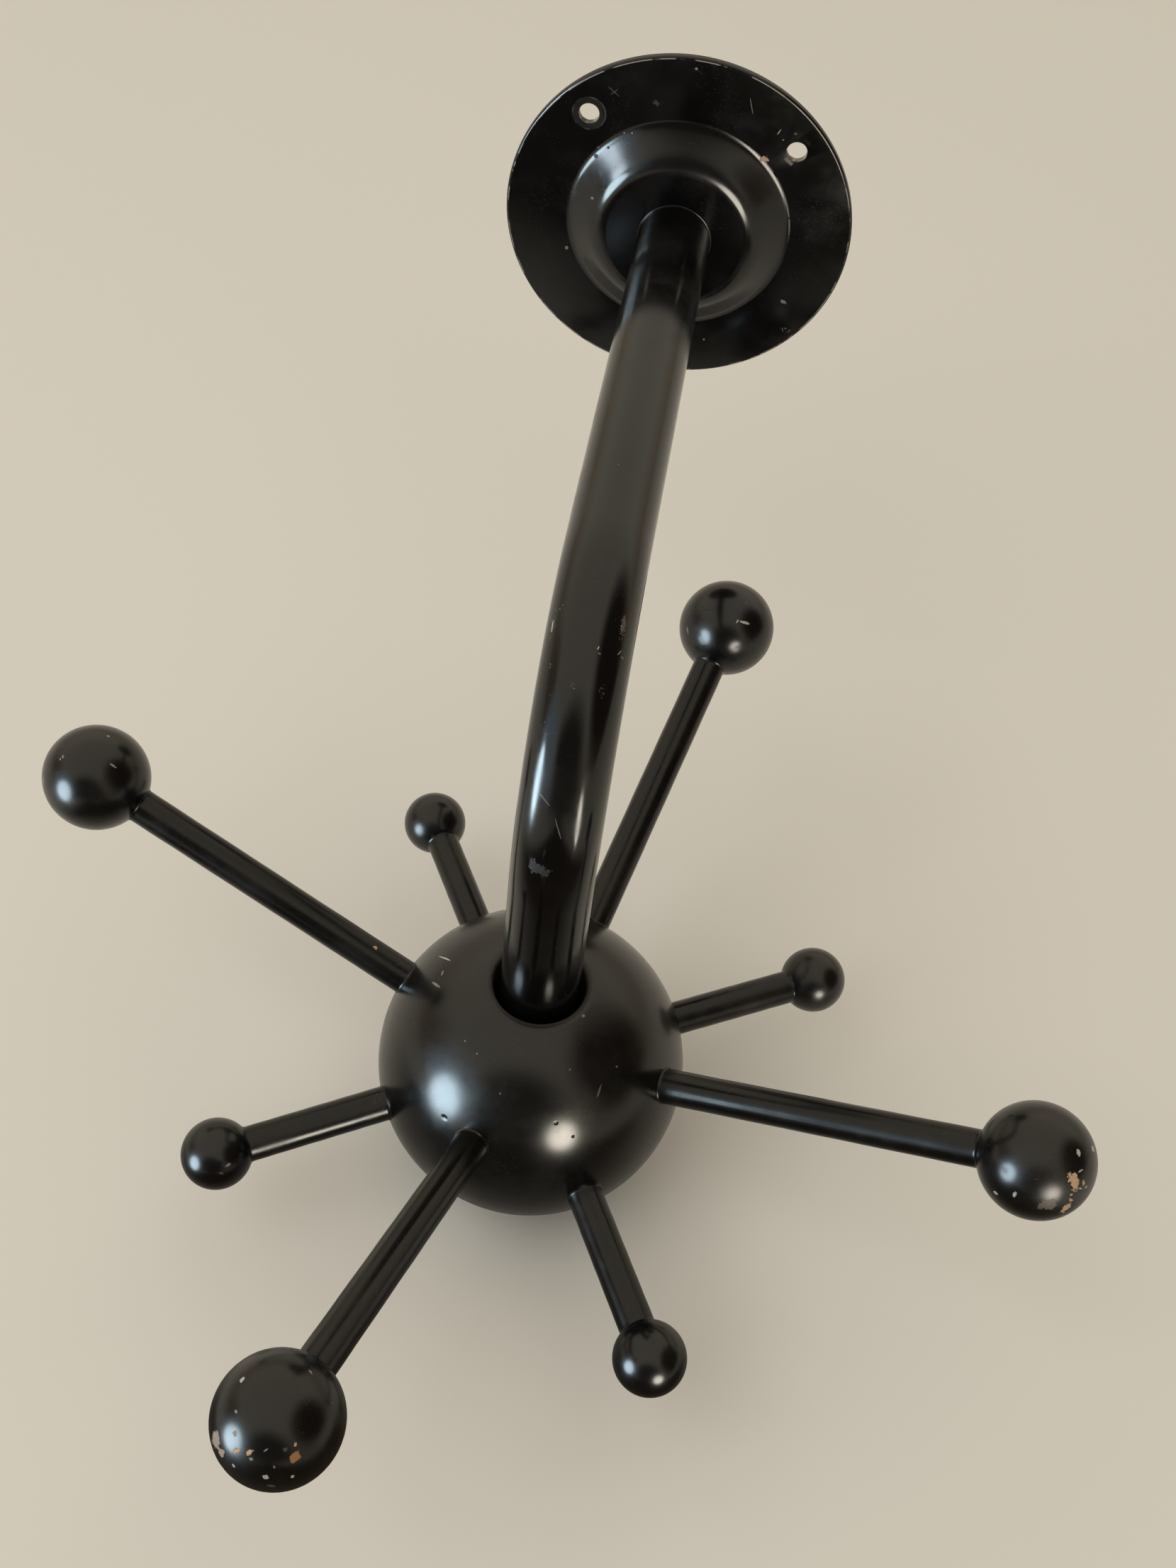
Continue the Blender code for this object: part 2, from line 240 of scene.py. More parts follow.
def screw_hole_cutter():
    """A round cutter with a slight flare at the plate's front, where the hole's edge is rounded."""
    flared = SCREW_HOLE_RADIUS + SCREW_HOLE_FLARE
    flare = arc((flared, FLANGE_SHEET - SCREW_HOLE_FLARE), SCREW_HOLE_FLARE, pi, pi / 2, FLARE_STEPS)
    top = FLANGE_SHEET + CUT_OVERRUN
    profile = [(0, -CUT_OVERRUN), (SCREW_HOLE_RADIUS, -CUT_OVERRUN)] + flare + [(flared, top), (0, top)]
    return new_piece("screw_hole_cutter", turned(profile, ROD_STEPS))


def make_wall_plate():
    """The pressed flange, which faces out from the wall, with its three screw holes."""
    plate = new_piece("wall_plate", turned(flange_profile(), FLANGE_STEPS, closed=True))
    cutter = screw_hole_cutter()
    cutters = []
    for angle in SCREW_HOLE_ANGLES:
        copy = cutter.copy()
        copy.location = (SCREW_HOLE_CIRCLE_RADIUS * cos(angle), SCREW_HOLE_CIRCLE_RADIUS * sin(angle), 0)
        scene.collection.objects.link(copy)
        boolean = plate.modifiers.new("screw_hole", "BOOLEAN")
        boolean.operation = "DIFFERENCE"
        boolean.solver = "EXACT"
        boolean.object = copy
        cutters.append(copy)
    worked(plate)
    for spent in cutters + [cutter]:
        bpy.data.objects.remove(spent, do_unlink=True)
    plate.rotation_euler = (pi / 2, 0, 0)
    return plate


def make_weld_bead():
    """The thin bead of weld and paint round the tube, where it stands on the plateau."""
    inside, foot = TUBE_RADIUS - TUBE_GAP, DOME_HEIGHT - TUBE_GAP
    slope = [(inside, DOME_HEIGHT + BEAD_HEIGHT)]
    slope += [(TUBE_RADIUS + BEAD_WIDTH * out, DOME_HEIGHT + BEAD_HEIGHT * up) for out, up in BEAD_SHARES]
    slope += [(TUBE_RADIUS + BEAD_WIDTH, foot), (inside, foot)]
    bead = new_piece("weld_bead", turned(eased(slope), TUBE_STEPS, closed=True))
    bead.rotation_euler = (pi / 2, 0, 0)
    return bead


def arm_line():
    """The tube's middle line, from inside the flange's dome, round the bend, to its end in the hub."""
    reach, drop = -HUB_CENTRE.y, -HUB_CENTRE.z
    points = [Vector((0, -(DOME_HEIGHT - FLANGE_SHEET) * TUBE_START_SHARE, 0))]
    for i in range(BEND_STEPS + 1):
        angle = pi / 2 * i / BEND_STEPS
        out = reach - BEND_RADIUS * (1 - sin(angle))
        down = BEND_RADIUS * (1 - cos(angle))
        points.append(Vector((0, -out, -down)))
    points.append(Vector((0, -reach, TUBE_END - drop)))
    return points


def make_bent_arm():
    """The bent tube, swept along its middle line as an open skin, with its wall added inwards."""
    shape = bmesh.new()
    rings = []
    line = arm_line()
    for i, point in enumerate(line):
        before, after = line[max(i - 1, 0)], line[min(i + 1, len(line) - 1)]
        ahead = (after - before).normalized()
        side = Vector((1, 0, 0))
        over = ahead.cross(side)
        angles = [2 * pi * k / TUBE_STEPS for k in range(TUBE_STEPS)]
        rings.append([shape.verts.new(point + TUBE_RADIUS * (side * cos(a) + over * sin(a))) for a in angles])
    for ring, beyond in zip(rings, rings[1:]):
        for k in range(TUBE_STEPS):
            n = (k + 1) % TUBE_STEPS
            shape.faces.new((ring[k], ring[n], beyond[n], beyond[k]))
    bmesh.ops.recalc_face_normals(shape, faces=shape.faces)
    arm = new_piece("bent_arm", shape)
    wall = arm.modifiers.new("wall", "SOLIDIFY")
    wall.thickness = TUBE_WALL
    wall.offset = -1
    wall.use_even_offset = True
    return worked(arm)


def make_hub():
    """The ball: down over its outside, up its recess, in over its web and up its bore to the rounded edge."""
    edge_radius = HUB_BORE_RADIUS + BORE_EDGE_ROUND
    bore_angle = asin(edge_radius / HUB_RADIUS)
    recess_angle = asin(RECESS_RADIUS / HUB_RADIUS)
    outside = arc((0, 0), HUB_RADIUS, pi / 2 - bore_angle, recess_angle - pi / 2, HUB_ARC_STEPS)
    edge_foot = HUB_RADIUS * cos(bore_angle) - BORE_EDGE_ROUND
    edge = arc((edge_radius, edge_foot), BORE_EDGE_ROUND, pi, pi / 2, EDGE_STEPS)
    bore_depths = [part_way(WEB_TOP, edge_foot, i / BORE_STEPS) for i in range(BORE_STEPS)]
    inside = [(RECESS_RADIUS, WEB_FOOT), (WEB_HOLE_RADIUS, WEB_FOOT), (WEB_HOLE_RADIUS, WEB_TOP)]
    inside += [(HUB_BORE_RADIUS, depth) for depth in bore_depths] + edge[:-1]
    hub = new_piece("hub", turned(outside + inside, HUB_STEPS, closed=True))
    hub.location = HUB_CENTRE
    return hub


def rod_profile(length, knob_radius):
    """Half section of a rod from its seat in the hub to its knob, with a fillet of paint at each end."""
    wide = ROD_RADIUS + PAINT_FILLET
    tapered = ROD_RADIUS + PAINT_FILLET * FILLET_TAPER_SHARE
    foot = sqrt(HUB_RADIUS**2 - wide**2)
    end = length - sqrt(knob_radius**2 - wide**2)
    seat, tip = foot - ROD_SEAT, end + PAINT_FILLET * 2
    first, last = foot + PAINT_FILLET * 2, end - PAINT_FILLET * 2
    skin = [(wide, foot), (tapered, foot + PAINT_FILLET)]
    for i in range(ROD_SPANS + 1):
        skin.append((ROD_RADIUS + ROD_SWELL * sin(i * SWELL_TURN), part_way(first, last, i / ROD_SPANS)))
    skin += [(tapered, end - PAINT_FILLET), (wide, end)]
    return [(0, seat), (ROD_RADIUS, seat)] + eased(skin) + [(ROD_RADIUS, tip), (0, tip)]


def make_peg(number, kind, length, rise, angle, knob_radius):
    """One rod and its knob, each with its own Z along the peg, out from the hub's centre."""
    size = {"long": "large", "short": "small"}[kind]
    direction = Vector((cos(angle) * cos(rise), sin(angle) * cos(rise), sin(rise)))
    rod = new_piece(f"{kind}_peg_{number}", turned(rod_profile(length, knob_radius), ROD_STEPS))
    ball = arc((0, 0), knob_radius, -pi / 2, pi / 2, KNOB_ARC_STEPS)
    ball[0], ball[-1] = (0, -knob_radius), (0, knob_radius)
    knob = new_piece(f"{size}_knob_{number}", turned(ball, KNOB_STEPS))
    turn = direction.to_track_quat("Z", "Y")
    rod.rotation_mode = "QUATERNION"
    rod.rotation_quaternion = turn
    rod.location = HUB_CENTRE
    knob.data.transform(turn.to_matrix().to_4x4())
    knob.location = HUB_CENTRE + direction * length
    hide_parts(f"{kind}_rod_{number}")
    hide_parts(f"{size}_ball_{number}")
    return rod, knob


def make_pegs():
    """All eight pegs, as {name: piece}."""
    between = FIRST_LONG_PEG_ANGLE + pi / PEGS_OF_EACH_LENGTH
    turns = (
        ("long", LONG_PEG_LENGTH, LONG_PEG_RISE, FIRST_LONG_PEG_ANGLE, LARGE_KNOB_RADIUS),
        ("short", SHORT_PEG_LENGTH, SHORT_PEG_RISE, between, SMALL_KNOB_RADIUS),
    )
    made = []
    for kind, length, rise, first_angle, knob_radius in turns:
        for i in range(PEGS_OF_EACH_LENGTH):
            angle = first_angle + 2 * pi * i / PEGS_OF_EACH_LENGTH
            angle += TURNED_OFF_PLACE.get(f"{kind}_peg_{i + 1}", 0)
            made += make_peg(i + 1, kind, length, rise, angle, knob_radius)
    return {piece.name: piece for piece in made}


def make_camera():
    """The camera where the photograph was taken from."""
    camera = bpy.data.objects.new("camera", bpy.data.cameras.new("camera"))
    camera.data.sensor_width = SENSOR_WIDTH
    camera.data.lens = SENSOR_WIDTH * FOCAL_PIXELS / PHOTO_HEIGHT
    turn = Matrix((CAMERA_RIGHT, CAMERA_UP, -CAMERA_AHEAD)).transposed().to_4x4()
    camera.matrix_world = Matrix.Translation(CAMERA_PLACE) @ turn
    scene.collection.objects.link(camera)
    scene.camera = camera


# Light: soft boxes low in front, for the gloss alone, and a broad one overhead for all the rest
SoftBox = namedtuple("SoftBox", "towards distance colour width height glow in_gloss", defaults=(True,))
SOFT_BOXES = {
    "cool box": SoftBox((-0.788, -0.616, 0.045), 1.3, (0.68, 0.88, 1.0), 0.54, 0.66, 20),
    "warm box": SoftBox((0.485, -0.875, 0.030), 1.3, (1.0, 0.93, 0.78), 0.40, 0.48, 22),
    "knobs' cool box": SoftBox((-0.788, -0.616, 0.045), 1.3, (0.68, 0.88, 1.0), 0.66, 0.82, 16),
    "knobs' warm box": SoftBox((0.485, -0.875, 0.030), 1.3, (1.0, 0.93, 0.82), 0.50, 0.56, 16.5),
    "flange's cool box": SoftBox((-0.852, -0.418, 0.314), 1.54, (0.74, 0.88, 1.0), 0.36, 0.44, 18),
    "flange's warm box": SoftBox((0.397, -0.914, -0.077), 1.19, (1.0, 0.92, 0.78), 0.46, 0.55, 14),
    "tube's cool box": SoftBox((-0.912, -0.410, -0.029), 1.28, (0.68, 0.88, 1.0), 0.30, 0.58, 30),
    "tube's warm box": SoftBox((0.713, -0.698, -0.064), 1.27, (1.0, 0.93, 0.80), 0.18, 0.50, 15),
    "overhead box": SoftBox((-0.45, -0.35, 0.82), 1.8, (1.0, 0.97, 0.93), 1.3, 1.3, 1.5, False),
}

# Which pieces a box's light is kept off, or is for alone
KNOBS = tuple(f"{size}_knob_{number}" for size in ("large", "small") for number in (1, 2, 3, 4))
SHADED_KNOBS = ("large_knob_2", "large_knob_3", "small_knob_2")
BOX_LINKS = {
    "cool box": ("EXCLUDE", ("bent_arm", *KNOBS)),
    "warm box": ("EXCLUDE", ("wall_plate", "bent_arm", *KNOBS)),
    "knobs' cool box": ("INCLUDE", KNOBS),
    "knobs' warm box": ("INCLUDE", tuple(knob for knob in KNOBS if knob not in SHADED_KNOBS)),
    "flange's cool box": ("INCLUDE", ("wall_plate", "weld_bead")),
    "flange's warm box": ("INCLUDE", ("wall_plate", "weld_bead")),
    "tube's cool box": ("INCLUDE", ("bent_arm",)),
    "tube's warm box": ("INCLUDE", ("bent_arm",)),
}

# The room: its light, and what the gloss shows of it, full within the inner angle and gone past the outer one
OVERHEAD_COLOUR = (0.90, 0.82, 0.66)
HORIZON_COLOUR = (0.50, 0.40, 0.29)
ROOM_RISE = (0.02, 0.45)
BACKDROP_COLOUR = (0.72, 0.68, 0.61)
Shade = namedtuple("Shade", "towards outer inner colour")
ROOM_SHADES = {
    "in front": Shade((-0.02, -0.97, 0.24), 45, 24, (0.10, 0.08, 0.065)),
    "at the right": Shade((0.88, -0.08, 0.47), 40, 22, (0.06, 0.042, 0.03)),
    "at the left": Shade((-0.98, -0.09, 0.10), 24, 8, (0.38, 0.27, 0.20)),
    "cool glow": Shade((-0.80, -0.58, 0.10), 30, 12, (0.85, 1.05, 1.20)),
}

# The floor: its colours, where the gloss sees painted shade on it, and how far off the camera sees it fade
FLOOR_COLOUR = (0.78, 0.77, 0.75)
FLOOR_SHADE_COLOUR = (0.08, 0.065, 0.05)
FLOOR_SHADE_START = -160 * MM
FLOOR_SHADE_FULL = -330 * MM
FLOOR_SHADE_HALF_WIDTH = 200 * MM
FLOOR_SHADE_END = 320 * MM
FLOOR_FADE_START = 0.8
FLOOR_FADE_END = 3.2
FLOOR_REACH = 40
FLOOR_ROUGHNESS = 0.9


def linked_pieces(name, state, piece_names):
    """A collection that takes its pieces into a box's light, or leaves them out of it."""
    linked = bpy.data.collections.new(name)
    for piece_name in piece_names:
        linked.objects.link(bpy.data.objects[piece_name])
    for entry in linked.collection_objects:
        entry.light_linking.link_state = state
    return linked


def make_soft_boxes():
    """Lit panels that face the hub, seen whole past the floor. The glow of each is how bright it looks."""
    for name, soft_box in SOFT_BOXES.items():
        lamp = bpy.data.lights.new(name, "AREA")
        lamp.shape = "ELLIPSE"
        lamp.size, lamp.size_y = soft_box.width, soft_box.height
        lamp.color = soft_box.colour
        lamp.energy = soft_box.glow * pi * pi / 4 * soft_box.width * soft_box.height
        box = bpy.data.objects.new(name, lamp)
        towards = Vector(soft_box.towards).normalized()
        box.location = HUB_CENTRE + towards * soft_box.distance
        box.rotation_mode = "QUATERNION"
        box.rotation_quaternion = towards.to_track_quat("Z", "Y")
        box.visible_camera = False
        box.visible_glossy = soft_box.in_gloss
        box.visible_diffuse = not soft_box.in_gloss
        scene.collection.objects.link(box)
        if name in BOX_LINKS:
            box.light_linking.receiver_collection = linked_pieces(f"{name} lights", *BOX_LINKS[name])
            box.light_linking.blocker_collection = linked_pieces(f"{name} passes", "EXCLUDE", ("floor",))


# How far apart a material's nodes are laid out
NODE_SPACING = 220


class Recipe:
    """The nodes of one material or node group, added from left to right."""

    def __init__(self, tree):
        self.tree = tree
        self.count = 0

    def add(self, kind, inputs=None, **settings):
        node = self.tree.nodes.new(kind)
        node.location = (NODE_SPACING * self.count, 0)
        self.count += 1
        for name, value in settings.items():
            setattr(node, name, value)
        self.fill(node, inputs or {})
        return node

    def fill(self, node, inputs):
        for name, value in inputs.items():
            socket = node.inputs[name]
            if isinstance(value, bpy.types.NodeSocket):
                self.tree.links.new(value, socket)
            else:
                socket.default_value = (*value, 1) if socket.type == "RGBA" else value

    def sum(self, operation, *values):
        return self.add("ShaderNodeMath", dict(enumerate(values)), operation=operation).outputs[0]

    def vector(self, operation, *values, output="Vector"):
        return self.add("ShaderNodeVectorMath", dict(enumerate(values)), operation=operation).outputs[output]

    def times(self, first, second):
        return self.sum("MULTIPLY", first, second)

    def dot(self, first, second):
        return self.vector("DOT_PRODUCT", first, second, output="Value")

    def length(self, vector):
        return self.vector("LENGTH", vector, output="Value")

    def height(self, place):
        return self.add("ShaderNodeSeparateXYZ", {0: place}).outputs["Z"]

    def spread(self, value, low, high, to_low=0.0, to_high=1.0):
        inputs = {"Value": value, "From Min": low, "From Max": high, "To Min": to_low, "To Max": to_high}
        return self.add("ShaderNodeMapRange", inputs, interpolation_type="SMOOTHSTEP").outputs["Result"]

    def noise(self, place, scale, detail=2.0, roughness=0.5):
        inputs = {"Vector": place, "Scale": scale, "Detail": detail, "Roughness": roughness}
        return self.add("ShaderNodeTexNoise", inputs).outputs[0]

    def blend(self, share, first, second):
        return self.add("ShaderNodeMix", {0: share, 6: first, 7: second}, data_type="RGBA").outputs[2]

    def between(self, share, first, second):
        return self.add("ShaderNodeMix", {0: share, 2: first, 3: second}, data_type="FLOAT").outputs[0]

    def group(self, name, inputs):
        node = self.add("ShaderNodeGroup", node_tree=bpy.data.node_groups[name])
        self.fill(node, inputs)
        return node.outputs


def start_material(name):
    """A new material, as (itself, its recipe, its shader, the place on the piece)."""
    material = bpy.data.materials.new(name)
    material.use_nodes = True
    recipe = Recipe(material.node_tree)
    place = recipe.add("ShaderNodeTexCoord").outputs["Object"]
    return material, recipe, material.node_tree.nodes["Principled BSDF"], place


def dress(piece, material):
    piece.data.materials.clear()
    piece.data.materials.append(material)


def start_group(name, vectors, values, outputs):
    """An empty node group with named sockets, as (its recipe, its inputs, a call that fills its outputs)."""
    tree = bpy.data.node_groups.new(name, "ShaderNodeTree")
    sockets = [(vector, "INPUT", "NodeSocketVector") for vector in vectors]
    sockets += [(value, "INPUT", "NodeSocketFloat") for value in values]
    sockets += [(output, "OUTPUT", "NodeSocketFloat") for output in outputs]
    for socket_name, way, kind in sockets:
        tree.interface.new_socket(socket_name, in_out=way, socket_type=kind)
    recipe = Recipe(tree)
    entry = recipe.add("NodeGroupInput").outputs

    def hand_out(values):
        recipe.add("NodeGroupOutput", values)

    return recipe, entry, hand_out


# Patterns in all paints: how fine they are, and between which values of their noise they fade in
PEEL_PER_METRE = 700
SMUDGES_PER_METRE = 45
SMUDGE_FADE = (0.38, 0.72)
HAIRLINES_PER_METRE = (60, 2600, 2600)
HAIRLINE_FADE = (0.74, 0.80)
HAIRLINE_PATCHES_PER_METRE = 55
HAIRLINE_PATCH_FADE = (0.45, 0.62)
SPECK_CELLS_PER_METRE = 340
SPECK_SIZE_SHARE = 0.05
SMALLEST_SPECK_SHARE = 0.4

# Spots, specks, and lines of wear and painted highlight: the share of their size within which they are full,
# and how ragged or broken
SPOT_CORE = 0.86
SPECK_CORE = 0.7
LINE_CORE = 0.4
SPOT_GRAINS = 1.1
NOISE_MIDDLE = 0.5
BREAK_START = 0.72
BREAK_DROP = 0.5
BREAK_FADE = 0.09


def make_spot_group():
    """A ragged oval spot on the surface, for a chip, nick, scratch or dent."""
    vectors, values = ("Place", "Centre", "Along"), ("Half Length", "Half Width", "Raggedness")
    recipe, entry, hand_out = start_group("Spot", vectors, values, ("Mask", "Hollow"))
    offset = recipe.vector("SUBTRACT", entry["Place"], entry["Centre"])
    along = recipe.dot(offset, entry["Along"])
    reach = recipe.length(offset)
    reach_squared = recipe.times(reach, reach)
    along_squared = recipe.times(along, along)
    across_squared = recipe.sum("SUBTRACT", reach_squared, along_squared)
    long_share = recipe.sum("DIVIDE", along_squared, recipe.sum("POWER", entry["Half Length"], 2.0))
    wide_share = recipe.sum("DIVIDE", across_squared, recipe.sum("POWER", entry["Half Width"], 2.0))
    distance = recipe.sum("SQRT", recipe.sum("MAXIMUM", recipe.sum("ADD", long_share, wide_share), 0.0))
    fineness = recipe.sum("DIVIDE", SPOT_GRAINS, entry["Half Width"])
    grain = recipe.noise(entry["Place"], fineness, detail=4.0, roughness=0.66)
    ragged = recipe.sum("SUBTRACT", grain, NOISE_MIDDLE)
    push = recipe.times(entry["Raggedness"], 1 / NOISE_MIDDLE)
    pushed = recipe.sum("MULTIPLY_ADD", ragged, push, distance)
    mask = recipe.spread(pushed, 1.0, SPOT_CORE)
    hollow = recipe.spread(distance, 1.0, 0.0)
    hand_out({"Mask": mask, "Hollow": hollow})


def make_specks_group():
    """Small scattered specks, as of dust or paint."""
    recipe, entry, hand_out = start_group("Specks", ("Place",), ("Chosen Share",), ("Mask",))
    cell_inputs = {"Vector": entry["Place"], "Scale": SPECK_CELLS_PER_METRE}
    cells = recipe.add("ShaderNodeTexVoronoi", cell_inputs).outputs
    pick = recipe.add("ShaderNodeSeparateColor", {"Color": cells["Color"]}).outputs
    chosen = recipe.sum("LESS_THAN", pick["Red"], entry["Chosen Share"])
    share = recipe.spread(pick["Green"], 0.0, 1.0, SMALLEST_SPECK_SHARE, 1.0)
    size = recipe.times(SPECK_SIZE_SHARE, share)
    near = recipe.spread(cells["Distance"], size, recipe.times(size, SPECK_CORE))
    hand_out({"Mask": recipe.times(near, chosen)})


def make_hairlines_group():
    """Fine scratches that all run about one way, in patches."""
    recipe, entry, hand_out = start_group("Hairlines", ("Place", "Turn"), (), ("Mask",))
    turn = {"Vector": entry["Place"], "Rotation": entry["Turn"]}
    turned_place = recipe.add("ShaderNodeVectorRotate", turn, rotation_type="EULER_XYZ").outputs[0]
    stretched = recipe.vector("MULTIPLY", turned_place, HAIRLINES_PER_METRE)
    line = recipe.spread(recipe.noise(stretched, 1.0, detail=0.0), *HAIRLINE_FADE)
    patch = recipe.spread(recipe.noise(entry["Place"], HAIRLINE_PATCHES_PER_METRE), *HAIRLINE_PATCH_FADE)
    hand_out({"Mask": recipe.times(line, patch)})


def make_paint_skin_group():
    """Unevenness of brushed or sprayed paint: its height in millimetres, and where it has lost some gloss."""
    values = ("Peel", "Waves", "Waves Per Metre")
    recipe, entry, hand_out = start_group("Paint skin", ("Place",), values, ("Height", "Dullness"))
    peel = recipe.times(recipe.noise(entry["Place"], PEEL_PER_METRE, detail=1.0), entry["Peel"])
    waves = recipe.noise(entry["Place"], entry["Waves Per Metre"])
    height = recipe.sum("MULTIPLY_ADD", waves, entry["Waves"], peel)
    smudges = recipe.noise(entry["Place"], SMUDGES_PER_METRE, detail=4.0, roughness=0.62)
    hand_out({"Height": height, "Dullness": recipe.spread(smudges, *SMUDGE_FADE)})


def make_wear_and_highlight_line_group():
    """A thin line that has worn through in places, where the distance from it is nothing; it also draws
    painted highlights along edges.
    """
    values = ("Distance", "Half Width", "Breaks Per Metre", "Kept Share")
    recipe, entry, hand_out = start_group("Wear and highlight line", ("Place",), values, ("Mask",))
    inner = recipe.times(entry["Half Width"], LINE_CORE)
    near = recipe.spread(entry["Distance"], entry["Half Width"], inner)
    breaks = recipe.noise(entry["Place"], entry["Breaks Per Metre"], detail=3.0, roughness=0.6)
    low = recipe.sum("SUBTRACT", BREAK_START, recipe.times(entry["Kept Share"], BREAK_DROP))
    kept = recipe.spread(breaks, low, recipe.sum("ADD", low, BREAK_FADE))
    hand_out({"Mask": recipe.times(near, kept)})


def make_groups():
    make_wear_and_highlight_line_group()
    make_spot_group()
    make_specks_group()
    make_hairlines_group()
    make_paint_skin_group()


# Marks seen in the photograph: place, length and width in pixels, turn clockwise in degrees, and kind
Mark = namedtuple("Mark", "across down length width turn kind", defaults=(0, "nick"))


def speck(across, down, length=2.6, width=2.6):
    return Mark(across, down, length, width, kind="speck")


